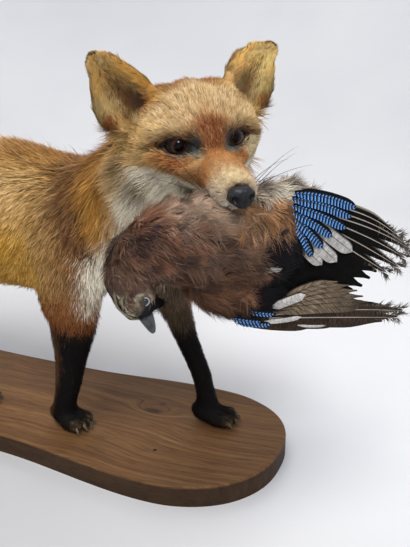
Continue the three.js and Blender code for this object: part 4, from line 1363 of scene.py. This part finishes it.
# A vane: barbs run out from the shaft at a slant, 0.5 mm apart, drawn at 1 mm so that they show. It may
# be barred, edged on its outer side, or darker towards its end.
def vaneMaterial(name, dark, pale, bars=None, edge=None, darkerTowardsEnd=None, **finish):
    finish = {**vaneFinish, **finish}
    material = newMaterial(name)
    parts = addNode(material, "SeparateXYZ", {"Vector": addNode(material, "UVMap", uv_map="vane")})
    along, acrossVane = parts.outputs["Y"], parts.outputs["X"]
    fromShaft = addNode(material, "Math", {0: acrossVane, 1: 0.5}, operation="SUBTRACT")
    fromShaft = addNode(material, "Math", {0: fromShaft}, operation="ABSOLUTE")
    slant = addNode(
        material, "Math", {0: fromShaft, 1: -finish["lean"], 2: along}, operation="MULTIPLY_ADD"
    )
    place = addNode(material, "CombineXYZ", {"X": slant, "Y": acrossVane})
    fineness = (finish["fine"], finish["spread"], 1)
    stretch = addNode(material, "Mapping", {"Vector": place, "Scale": fineness})
    barbs = addNode(
        material, "TexNoise", {"Vector": stretch, "Scale": 1.0, "Detail": 3.0, "Roughness": 0.6}
    )
    tone = addNode(material, "ValToRGB", {"Fac": barbs})
    setRamp(tone, [(0.35, dark), (0.68, pale)])
    world = addNode(material, "TexCoord").outputs["Object"]
    patches = addNode(material, "TexNoise", {"Vector": world, "Scale": 70.0, "Detail": 3.0})
    shade = addNode(material, "MapRange", {"Value": patches, "To Min": 0.55, "To Max": 1.35})
    colour = addNode(material, "VectorMath", {0: tone, "Scale": shade}, operation="SCALE")
    if darkerTowardsEnd:
        # From where to where, in tenths of a metre along the vane.
        fade = addNode(
            material, "MapRange",
            {"Value": along, "From Min": darkerTowardsEnd[0], "From Max": darkerTowardsEnd[1], "To Min": 1.15, "To Max": 0.3},
        )
        colour = addNode(material, "VectorMath", {0: colour, "Scale": fade}, operation="SCALE")
    if bars:
        # Each bar runs from black through blue to a pale edge; the inner half of the vane is black.
        wobble = addNode(material, "Math", {0: barbs, 1: 0.008, 2: slant}, operation="MULTIPLY_ADD")
        count = addNode(material, "Math", {0: wobble, 1: 100 / bars}, operation="MULTIPLY")
        cycle = addNode(material, "Math", {0: count}, operation="FRACT")
        band = addNode(material, "ValToRGB", {"Fac": cycle})
        setRamp(band, blueBar)
        inner = addNode(material, "MapRange", {"Value": acrossVane, "From Min": 0.6, "From Max": 0.72})
        barred = addNode(material, "Mix", {0: inner, 6: band, 7: linear("0c0d12")}, data_type="RGBA")
        colour = barred.outputs[2]
    if edge:
        outer = addNode(material, "MapRange", {"Value": acrossVane, "From Min": 0.8, "From Max": 0.93})
        edged = addNode(material, "Mix", {0: outer, 6: colour, 7: linear(edge)}, data_type="RGBA")
        colour = edged.outputs[2]
    bump = addNode(material, "Bump", {"Height": barbs, "Strength": 0.6, "Distance": 0.4 * mm})
    surface = addNode(
        material, "BsdfPrincipled",
        {"Base Color": colour, "Roughness": finish["roughness"], "Specular IOR Level": 0.06,
         "Normal": bump},
    )
    addNode(material, "OutputMaterial", {"Surface": surface})
    return material


# Loose barbs on the long feathers: how many on each, how far back from the tip, and their size.
frayed = {"each": 110, "reach": 0.4, "length": (3, 9), "width": 0.75, "height": 0.8, "splay": (0.1, 1.1)}


def makeJayWings(downMaterial):
    blue = vaneMaterial("barred blue covert", "0b0d14", "3c79b8", bars=2.9, roughness=0.5)
    white = vaneMaterial("white vane", "8f8c88", "cfccc7", edge="1b1919")
    black = vaneMaterial("black flight feather", "040404", "0f0e0e")
    edged = vaneMaterial("pale-edged primary", "060606", "161413", edge="857c70")
    brown = vaneMaterial("brown flight feather", "1c1511", "4a3c31", edge="0d0a08")
    paleBrown = vaneMaterial(
        "pale brown vane", "3a2f26", "93826c", edge="1c1713", darkerTowardsEnd=(0.3, 0.85),
        fine=60, lean=0.16, spread=0.7,
    )
    quill = vaneMaterial("quill", "8b8076", "bdb3a8", roughness=0.4)
    darkQuill = vaneMaterial("dark quill", "1c1917", "4a423c", roughness=0.4)
    makeVanes("jay_blue_coverts", blueVanes, blue, 24, roundTip)
    makeVanes("jay_white_vanes", whiteVanes, white, 14, roundTip)
    makeVanes("jay_primaries", primaries, edged, 16, pointedTip)
    makeVanes("jay_secondaries", secondaries, black, 16, wornTip)
    makeVanes("jay_lower_wing", lowerCoverts, paleBrown, 16, wornTip)
    makeVanes("jay_lower_primaries", lowerPrimaries, brown, 16, wornTip)
    makeVanes("jay_lower_white", lowerWhite, white, 10, roundTip)
    makeVanes("jay_quills", primaries + lowerPrimaries[1:3], quill, 10, shaftProfile, 2, 1.7, 1.1)
    darkShafts = blueVanes + whiteVanes + lowerCoverts
    makeVanes("jay_dark_quills", darkShafts, darkQuill, 10, shaftProfile, 2, 1.3, 0.7)
    # Frayed barbs stand off the ends and edges of the long feathers.
    roots, lies, lengths = [], [], []
    for (rootY, rootZ), (tipY, tipZ), width, x, bow in primaries + lowerPrimaries[:3]:
        root, tip = np.array([x, rootY, rootZ]), np.array([x, tipY, tipZ])
        along = unit(tip - root)
        across = unit(np.cross((1, 0, 0), along))
        for _ in range(int(frayed["each"] * detail)):
            s = 1 - chance.random() ** 2 * frayed["reach"]
            t = chance.choice([-1, 1])
            spine = root + (tip - root) * s + across * bow * math.sin(math.pi * s)
            roots.append(spine + across * t * width * 0.12 + (chance.normal(0.4, 0.5), 0, 0))
            lies.append(along * 0.8 + across * t * chance.uniform(*frayed["splay"]))
            lengths.append(chance.uniform(*frayed["length"]) * (0.6 + 0.5 * (s > 0.9)))
    count = len(roots)
    roots, lies = fromHead(np.array(roots)), unit(np.array(lies)) @ headAxes.T
    tone = np.tile(tint(plumage["barb"]), (count, 1)) * chance.uniform(0.2, 1.7, (count, 1))
    normals = np.tile(headAxes[:, 0], (count, 1))
    uv = chance.random((count, 2)) * 0.9 + 0.05
    mesh = bladeMesh(
        "jay_frayed_barbs", roots, normals, lies, uv, tone * 0.6, tone, np.array(lengths),
        np.full(count, frayed["width"]), np.full(count, frayed["height"]), 3, chance.normal(0, 2.0, count),
        np.zeros((count, 3)),
    )
    finishPiece("jay_frayed_barbs", mesh, downMaterial)


# Thin tubes along lines of points, each with its radii, colours and number of sides.
def tubeMesh(name, lines):
    points, faces, tones = [], [], []
    for line, radii, colours, sides in lines:
        line = np.array(line, float)
        along = unit(np.gradient(line, axis=0))
        across = unit(np.cross(along, (0.12, 0.3, 0.95)))
        up = np.cross(across, along)
        start = len(points)
        for i in range(len(line)):
            for j in range(sides):
                angle = math.tau * j / sides
                points.append(line[i] + radii[i] * (across[i] * math.cos(angle) + up[i] * math.sin(angle)))
                tones.append(colours[i])
        for i in range(len(line) - 1):
            for j in range(sides):
                a, b = start + i * sides + j, start + i * sides + (j + 1) % sides
                faces.append((a, b, b + sides, a + sides))
        faces.append(tuple(start + j for j in reversed(range(sides))))
        faces.append(tuple(start + (len(line) - 1) * sides + j for j in range(sides)))
    mesh = bpy.data.meshes.new(name)
    mesh.from_pydata([tuple(point * mm) for point in points], [], faces)
    setColours(mesh, np.array(tones))
    smoothFaces(mesh)
    bm = bmesh.new()
    bm.from_mesh(mesh)
    bmesh.ops.recalc_face_normals(bm, faces=bm.faces)
    bm.to_mesh(mesh)
    bm.free()
    return mesh


# Bare skin at the lids' edges and the nose: dark, a little moist, finely pebbled.
def bareSkinMaterial(name, pebble, roughness):
    material = newMaterial(name)
    texture = addNode(material, "TexCoord")
    colour = addNode(material, "VertexColor", layer_name="coat")
    pebbles = addNode(
        material, "TexVoronoi", {"Vector": texture.outputs["Object"], "Scale": 1 / (pebble * mm)}
    )
    stains = addNode(
        material, "TexNoise", {"Vector": texture.outputs["Object"], "Scale": 160.0, "Detail": 4.0}
    )
    shade = addNode(material, "MapRange", {"Value": stains, "To Min": 0.6, "To Max": 1.4})
    toned = addNode(material, "VectorMath", {0: colour, "Scale": shade}, operation="SCALE")
    dull = addNode(
        material, "MapRange", {"Value": stains, "To Min": roughness - 0.12, "To Max": roughness + 0.15}
    )
    bump = addNode(
        material, "Bump", {"Height": pebbles, "Strength": 0.5, "Distance": 0.25 * mm}, invert=True
    )
    surface = addNode(
        material, "BsdfPrincipled",
        {"Base Color": toned, "Roughness": dull, "Specular IOR Level": 0.3, "Normal": bump},
    )
    addNode(material, "OutputMaterial", {"Surface": surface})
    return material


def makeJayHead():
    bm = bmesh.new()
    place = Matrix.Translation(jay["eye"])
    bmesh.ops.create_uvsphere(bm, u_segments=20, v_segments=12, radius=jay["eyeRadius"], matrix=place)
    headToWorld(bm)
    # The beak is grey horn, dull and faintly streaked; the eye is a bead of dark glass.
    finishes = {}
    for name, scale, streaks, dark, pale, roughness in (
        ("small glass eye", 300.0, 2.0, "0b0a0c", "2a2a30", 0.08),
        ("grey horn beak", 180.0, 3.0, "222428", "494c50", 0.38),
    ):
        material = newMaterial(name)
        world = addNode(material, "TexCoord").outputs["Object"]
        grain = addNode(material, "TexNoise", {"Vector": world, "Scale": scale, "Detail": streaks})
        tone = addNode(material, "ValToRGB", {"Fac": grain})
        setRamp(tone, [(0.3, dark), (0.7, pale)])
        surface = addNode(material, "BsdfPrincipled", {"Base Color": tone, "Roughness": roughness})
        addNode(material, "OutputMaterial", {"Surface": surface})
        finishes[name] = material
    finishPiece("jay_eye", meshFromBmesh("jay_eye", bm), finishes["small glass eye"])

    # The bare ring of lid round it.
    turns = np.linspace(0, math.tau, 33)
    out, wide, thick = jay["lidRing"]
    ring = np.column_stack([turns * 0 + out, wide * np.cos(turns), wide * np.sin(turns)])
    line = fromHead(ring + np.array(jay["eye"]))
    tube = tubeMesh("jay_lids", [(line, turns * 0 + thick, [tint(plumage["eyeRing"])] * 33, 8)])
    finishPiece("jay_lids", tube, bareSkinMaterial("dry lid skin", 0.6, 0.5))

    bm = bmesh.new()
    ringTube(bm, jay["beakRings"])
    headToWorld(bm)
    bmesh.ops.recalc_face_normals(bm, faces=bm.faces)
    mesh = withModifier(meshFromBmesh("jay_beak", bm), "SUBSURF", levels=2, render_levels=2)
    # The gape is a fine groove along the beak.
    points = toHead(coordinates(mesh) / mm)
    gape = jay["gape"]
    fromGape = points[:, 1] - np.interp(-points[:, 2], gape["down"], gape["y"])
    groove = gape["deep"] * np.exp(-((fromGape / gape["wide"]) ** 2))
    points[:, 0] -= groove * np.sign(points[:, 0] - gape["x"])
    setCoordinates(mesh, fromHead(points) * mm)
    smoothFaces(mesh)
    finishPiece("jay_beak", mesh, finishes["grey horn beak"])


jayPiece = makeJayBody()
makeJayDown(jayPiece, coatMaterial)
makeJayWings(coatMaterial)
makeJayHead()
print("jay is ready")


# The eyes: glass balls with a painted iris, each under a bulging cornea.
def glassEyeMaterial():
    material = newMaterial("glass eye")
    fromPupil = addNode(material, "Attribute", attribute_name="fromPupil").outputs["Fac"]
    around = addNode(material, "Attribute", attribute_name="around").outputs["Vector"]
    rays = addNode(material, "TexNoise", {"Vector": around, "Scale": 6.0, "Detail": 4.0, "Roughness": 0.7})
    bent = addNode(material, "Math", {0: rays, 1: 0.05, 2: fromPupil}, operation="MULTIPLY_ADD")
    tone = addNode(material, "ValToRGB", {"Fac": bent})
    pupil, iris = eye["pupil"] / 90 + 0.025, eye["iris"] / 90 + 0.025
    setRamp(tone, [
        (pupil - 0.012, eye["pupilColour"]), (pupil + 0.012, eye["irisInner"]),
        ((pupil + iris) / 2, eye["irisColour"]), (iris - 0.04, eye["irisOuter"]),
        (iris + 0.01, eye["limbus"]), (iris + 0.15, eye["white"]),
    ])
    streaks = addNode(material, "MapRange", {"Value": rays, "To Min": 0.55, "To Max": 1.5})
    colour = addNode(material, "VectorMath", {0: tone, "Scale": streaks}, operation="SCALE")
    surface = addNode(
        material, "BsdfPrincipled",
        {"Base Color": colour, "Roughness": 0.35, "Specular IOR Level": 0.0, "Coat Weight": 1.0,
         "Coat Roughness": 0.02, "Coat IOR": 1.26},
    )
    addNode(material, "OutputMaterial", {"Surface": surface})
    return material


def makeEyes():
    material = glassEyeMaterial()
    for side, name in ((1, "eye_left"), (-1, "eye_right")):
        bm = bmesh.new()
        look = Vector(headAxes @ unit(np.array(eye["look"]) * (1, side, 1)))
        turn = look.to_track_quat("Z", "Y").to_matrix().to_4x4()
        centre = Vector(fromHead(eyeCentre(side)) * mm)
        place = Matrix.Translation(centre) @ turn
        bmesh.ops.create_uvsphere(
            bm, u_segments=64, v_segments=48, radius=eye["radius"] * mm, matrix=place
        )
        mesh = meshFromBmesh(name + "_glass", bm)
        points = coordinates(mesh) - np.array(centre)
        out = unit(points)
        angle = np.degrees(np.arccos(np.clip(out @ np.array(look), -1, 1)))
        bulge = out * (eye["cornea"] * mm * ease(42, 0, angle))[:, None]
        setCoordinates(mesh, np.array(centre) + points + bulge)
        mesh.attributes.new("fromPupil", "FLOAT", "POINT").data.foreach_set("value", angle / 90)
        heading = unit((points @ np.array(turn.to_3x3()))[:, :2])
        ring = np.column_stack([heading, angle / 90])
        mesh.attributes.new("around", "FLOAT_VECTOR", "POINT").data.foreach_set("vector", ring.ravel())
        finishPiece(name + "_glass", mesh, material, [name])


# The lids' bare edges: dark above; below, pale at the nose (partly lid grey, partly a painted highlight)
# and brown behind.
rim = {
    "steps": 44, "reach": 0.985, "upper": 0.95, "lower": 0.6, "dark": "17110f", "pale": "4b4c48",
    "brown": "2e1f18", "smoothing": 4,
}


def makeRims(material):
    tree = BVHTree.FromPolygons(
        [tuple(point) for point in skinPoints], [tuple(face.vertices) for face in skinMesh.polygons]
    )
    lines = []
    for side, lid in ((1, "upper"), (1, "lower"), (-1, "upper"), (-1, "lower")):
        middle, axes, half = eyeOpening(side)
        line, radii, colours = [], [], []
        for share in np.linspace(-rim["reach"], rim["reach"], rim["steps"] + 1):
            # Each point lies on the skin or on the glass, whichever stands further out.
            height = lidHeights(share)[0 if lid == "upper" else 1]
            start = middle + axes[0] * half * share + axes[1] * height + axes[2] * 40
            hit = tree.ray_cast(Vector(fromHead(start)), Vector(headAxes @ -axes[2]))[0]
            ways = [] if hit is None else [np.array(toHead(np.array(hit)[None])[0])]
            offset = start - eyeCentre(side)
            along = offset @ -axes[2]
            gap = along**2 - offset @ offset + (eye["radius"] + 0.2) ** 2
            if gap > 0:
                ways.append(start + axes[2] * (along + math.sqrt(gap)))
            line.append(max(ways, key=lambda way: way @ axes[2]))
            radii.append(rim[lid] * (0.35 + 0.65 * math.sqrt(max(0, 1 - abs(share) ** 3))))
            under = mixed(tint(rim["pale"]), tint(rim["brown"]), ease(0.1, 0.9, share))
            colours.append(tint(rim["dark"]) if lid == "upper" else under)
        line = np.array(line)
        for _ in range(rim["smoothing"]):
            line[1:-1] = (line[:-2] + 2 * line[1:-1] + line[2:]) / 4
        lines.append((fromHead(line), radii, colours, 8))
    finishPiece("eye_rims", tubeMesh("eye_rims", lines), material)


# The nose: the form between the nostrils is cleft, and each nostril runs out into a slit.
nose = {
    "voxel": 0.7 * mm, "soft": 6, "nostrils": (75, 6.6, -29.5), "nostrilSize": (7, 2.4, 2.6), "deep": 4.2,
    "slit": (73.5, 9.6, -31.5), "slitSize": (6, 2.6, 1.2), "slitDeep": 2.2,
    # The leather's colour, and a lighter top that is a painted highlight from above.
    "colour": "0a0a0c", "top": "1e2025",
    "ridge": (74, 2.4, -25), "ridgeSize": (6, 1.8, 3), "front": 74.5, "upperEdge": -22,
}


# 1 at the middle of a soft dent or bump, and less all round it.
def hump(points, centre, size):
    return np.exp(-(((points - centre) / size) ** 2).sum(1))


def makeNose():
    bm = swollenCopies(["nose"], 0)
    mesh = withModifier(meshFromBmesh("nose_skin", bm), "REMESH", mode="VOXEL", voxel_size=nose["voxel"])
    mesh = withModifier(mesh, "SMOOTH", factor=0.5, iterations=nose["soft"])
    p = toHead(coordinates(mesh) / mm)
    q = folded(p)
    hole = hump(q, nose["nostrils"], nose["nostrilSize"])
    slit = hump(q, nose["slit"], nose["slitSize"])
    cleft = np.exp(-((p[:, 1] / 0.8) ** 2)) * ease(-26, -32, p[:, 2]) * ease(66, 70, p[:, 0])
    back = np.maximum(hole * nose["deep"], slit * nose["slitDeep"]) + cleft * 0.9
    ridge = 0.5 * hump(q, nose["ridge"], nose["ridgeSize"])
    # Narrower below, and flattened on its top and its front.
    p[:, 1] *= 1 - 0.3 * ease(-29, -39, p[:, 2])
    top, front = nose["upperEdge"], nose["front"]
    p[:, 2] = np.where(p[:, 2] > top, top + (p[:, 2] - top) * 0.6, p[:, 2])
    p[:, 0] = np.where(p[:, 0] > front, front + (p[:, 0] - front) * 0.45, p[:, 0])
    p[:, 0] += ridge - back
    setCoordinates(mesh, fromHead(p) * mm)
    # The top is painted lighter as a painted highlight, and the nostrils and slits are darkened as painted
    # shade in the holes.
    tones = mixed(tint(nose["colour"]), tint(nose["top"]), ease(-31, -22, p[:, 2])[:, None])
    setColours(mesh, tones * (1 - 0.8 * np.clip(hole + slit, 0, 1))[:, None])
    smoothFaces(mesh)
    finishPiece("nose_leather", mesh, bareSkinMaterial("nose leather", 1.1, 0.36), ["nose"])


# Whiskers: root and tip in the head's frame, bow and thickness at the root.
whiskers = {
    "left": [
        ((60, 14, -24), (34, 63, -10), 5), ((62, 13.5, -26), (42, 58, -12), 4),
        ((58, 15, -27), (34, 76, -27), 5), ((50, 17, -24), (22, 60, -22), 5),
        ((46, 18, -28), (12, 66, -40), 5),
    ],
    "right": [
        ((40, -18, -31), (-2, -46, -9), 2), ((46, -18, -30), (14, -42, 4), 2),
        ((36, -19, -33), (-8, -50, -24), 2),
    ],
    "root": 0.3, "colour": "14100e",
}


def makeWhiskers(material):
    lines = []
    for root, tip, bow in whiskers["left"] + whiskers["right"]:
        a, b = np.array(root, float), np.array(tip, float)
        steps = np.linspace(0, 1, 14)[:, None]
        line = a + (b - a) * steps + np.array([0.4, 0, 1.0]) * bow * np.sin(steps * math.pi * 0.8)
        radii = whiskers["root"] * (1 - 0.8 * steps[:, 0])
        lines.append((fromHead(line), radii, [tint(whiskers["colour"])] * 14, 4))
    finishPiece("whiskers", tubeMesh("whiskers", lines), material)


# The claws: the CAD forms rounded, and worn short: each draws back towards its toe and is stouter.
claw = {"stouter": 1.2, "shorter": 0.62, "back": 2.6 * mm, "span": 11 * mm}


def makeClaws():
    names = [n for n in nodes if n.startswith("claw")]
    bm = swollenCopies(names, 0)
    for name in names:
        ends = coordinates(nodes[name].data)
        middle = ends.mean(0)
        way = unit(ends[np.argmax(np.linalg.norm(ends - middle, axis=1))] - middle)
        way = way * (1 if way[2] < 0 else -1)
        for vertex in bm.verts:
            offset = np.array(vertex.co) - middle
            if np.linalg.norm(offset) < claw["span"]:
                along = offset @ way
                sideways = (offset - way * along) * claw["stouter"]
                vertex.co = Vector(middle + sideways + way * (along * claw["shorter"] - claw["back"]))
    mesh = withModifier(meshFromBmesh("claws", bm), "SUBSURF", levels=2, render_levels=2)
    smoothFaces(mesh)
    material = newMaterial("worn claw horn")
    world = addNode(material, "TexCoord").outputs["Object"]
    stretch = addNode(material, "Mapping", {"Vector": world, "Scale": (260, 900, 900)})
    grain = addNode(material, "TexNoise", {"Vector": stretch, "Scale": 1.0, "Detail": 3.0})
    tone = addNode(material, "ValToRGB", {"Fac": grain})
    setRamp(tone, [(0.3, "261e17"), (0.5, "4c3f30"), (0.72, "78674f")])
    bump = addNode(material, "Bump", {"Height": grain, "Strength": 0.4, "Distance": 0.15 * mm})
    surface = addNode(material, "BsdfPrincipled", {"Base Color": tone, "Roughness": 0.6, "Normal": bump})
    addNode(material, "OutputMaterial", {"Surface": surface})
    finishPiece("claws", mesh, material, names)


# The oak board: its outline follows the CAD form, cut by hand, with a softened top edge.
board = {
    "length": 784, "thickness": 23, "waist": 96, "swell": 14, "swellAt": 260, "swellSpread": 105,
    "endDepth": 102, "endFullness": 2.35, "outline": 240, "waver": 0.7, "inset": 0.0012, "edge": 2.6,
    "knot": (223, 22, 23), "hole": (266, -54, 23),
}


def boardHalfWidth(x):
    fromSwell = (abs(x) - board["swellAt"]) / board["swellSpread"]
    side = board["waist"] + board["swell"] * math.exp(-(fromSwell**2))
    intoEnd = max(0, abs(x) - (board["length"] / 2 - board["endDepth"])) / board["endDepth"]
    return side * max(0, 1 - intoEnd ** board["endFullness"]) ** (1 / board["endFullness"])


# Old oak, oiled: long grain with short pores, a knot and a small nail hole; sawn edges are darker.
def oakMaterial():
    material = newMaterial("oiled oak")
    world = addNode(material, "TexCoord").outputs["Object"]
    parts = addNode(material, "SeparateXYZ", {"Vector": world})
    x, y, z = (parts.outputs[axis] for axis in "XYZ")
    knotAt = tuple(value * mm for value in board["knot"])
    knot = addNode(material, "VectorMath", {0: world, 1: knotAt}, operation="SUBTRACT")
    squashed = addNode(material, "VectorMath", {0: knot, 1: (0.5, 1.0, 0.6)}, operation="MULTIPLY")
    fromKnot = addNode(material, "VectorMath", {0: squashed}, operation="LENGTH").outputs["Value"]
    # The grain bends round the knot and drifts slowly from side to side.
    bulge = addNode(
        material, "MapRange", {"Value": fromKnot, "From Max": 0.028, "To Min": 0.02, "To Max": 0.0},
        interpolation_type="SMOOTHERSTEP",
    )
    drift = addNode(material, "TexNoise", {"Vector": world, "Scale": 5.0, "Detail": 2.0})
    sideways = addNode(material, "Math", {0: drift, 1: 0.055, 2: y}, operation="MULTIPLY_ADD")
    sideways = addNode(material, "Math", {0: sideways, 1: bulge}, operation="ADD")
    place = addNode(material, "CombineXYZ", {"X": x, "Y": sideways, "Z": z})
    grainPlace = addNode(material, "Mapping", {"Vector": place, "Scale": (2.6, 150, 60)})
    grain = addNode(
        material, "TexNoise", {"Vector": grainPlace, "Scale": 1.0, "Detail": 6.0, "Roughness": 0.6}
    )
    porePlace = addNode(material, "Mapping", {"Vector": place, "Scale": (38, 1100, 900)})
    pores = addNode(
        material, "TexNoise", {"Vector": porePlace, "Scale": 1.0, "Detail": 2.0, "Roughness": 0.5}
    )
    tone = addNode(material, "ValToRGB", {"Fac": grain})
    setRamp(tone, [(0.22, "483019"), (0.42, "5d4026"), (0.57, "694b2d"), (0.80, "7a5b3a")])
    blotch = addNode(material, "TexNoise", {"Vector": world, "Scale": 11.0, "Detail": 4.0})
    holeAt = tuple(value * mm for value in board["hole"])
    hole = addNode(material, "VectorMath", {0: world, 1: holeAt}, operation="DISTANCE")
    # What darkens the wood: its pores, blotches, the knot, the hole and the sawn edges. The wood is also
    # paler towards its left end.
    shade = None
    for source, fromMin, fromMax, toMin, toMax, way in (
        (pores, 0.36, 0.46, 0.55, 1.0, "LINEAR"),
        (blotch, 0.0, 1.0, 0.72, 1.22, "LINEAR"),
        (fromKnot, 0.003, 0.008, 0.35, 1.0, "LINEAR"),
        (hole.outputs["Value"], 0.0017, 0.0026, 0.06, 1.0, "LINEAR"),
        (z, 0.0195, 0.0222, 0.3, 1.0, "SMOOTHSTEP"),
        (x, -0.1, 0.2, 1.22, 1.0, "LINEAR"),
    ):
        spans = {"From Min": fromMin, "From Max": fromMax, "To Min": toMin, "To Max": toMax}
        darker = addNode(material, "MapRange", {"Value": source, **spans}, interpolation_type=way)
        if shade is None:
            shade = darker
        else:
            shade = addNode(material, "Math", {0: shade, 1: darker}, operation="MULTIPLY")
    colour = addNode(material, "VectorMath", {0: tone, "Scale": shade}, operation="SCALE")
    roughness = addNode(material, "MapRange", {"Value": blotch, "To Min": 0.5, "To Max": 0.72})
    relief = addNode(material, "Math", {0: pores, 1: 0.6, 2: grain}, operation="MULTIPLY_ADD")
    bump = addNode(material, "Bump", {"Height": relief, "Strength": 0.45, "Distance": 0.5 * mm})
    surface = addNode(
        material, "BsdfPrincipled",
        {"Base Color": colour, "Roughness": roughness, "Specular IOR Level": 0.2, "Normal": bump},
    )
    addNode(material, "OutputMaterial", {"Surface": surface})
    return material


def makeBoard():
    bm = bmesh.new()
    ring = []
    for i in range(board["outline"]):
        angle = math.tau * i / board["outline"]
        x = math.cos(angle) * board["length"] / 2
        side = boardHalfWidth(x) * (1 if math.sin(angle) >= 0 else -1)
        wave = (math.sin(angle * 7 + 1) + 0.6 * math.sin(angle * 17 + 2)) * 0.6 - 1
        shrink = 1 + board["waver"] * wave / max(abs(side), 60)
        ring.append(bm.verts.new((x * (1 - board["inset"]), side * shrink, 0)))
    bottom = bm.faces.new(ring)
    made = bmesh.ops.extrude_face_region(bm, geom=[bottom])
    top = [item for item in made["geom"] if isinstance(item, bmesh.types.BMVert)]
    bmesh.ops.translate(bm, verts=top, vec=(0, 0, board["thickness"]))
    bmesh.ops.recalc_face_normals(bm, faces=bm.faces)
    upper = [e for e in bm.edges if all(v in top for v in e.verts)]
    bmesh.ops.bevel(
        bm, geom=upper, offset=board["edge"], segments=4, profile=0.5, affect="EDGES", material=-1,
    )
    bmesh.ops.scale(bm, vec=(mm, mm, mm), verts=bm.verts)
    mesh = meshFromBmesh("oak_board", bm, flat=True)
    finishPiece("oak_board", mesh, oakMaterial(), ["base_board"])


lidMaterial = bareSkinMaterial("moist lid skin", 0.5, 0.3)
makeEyes()
makeRims(lidMaterial)
makeNose()
makeWhiskers(lidMaterial)
makeClaws()
makeBoard()
print("eyes, nose, whiskers, claws and board are ready")

bpy.context.view_layer.update()
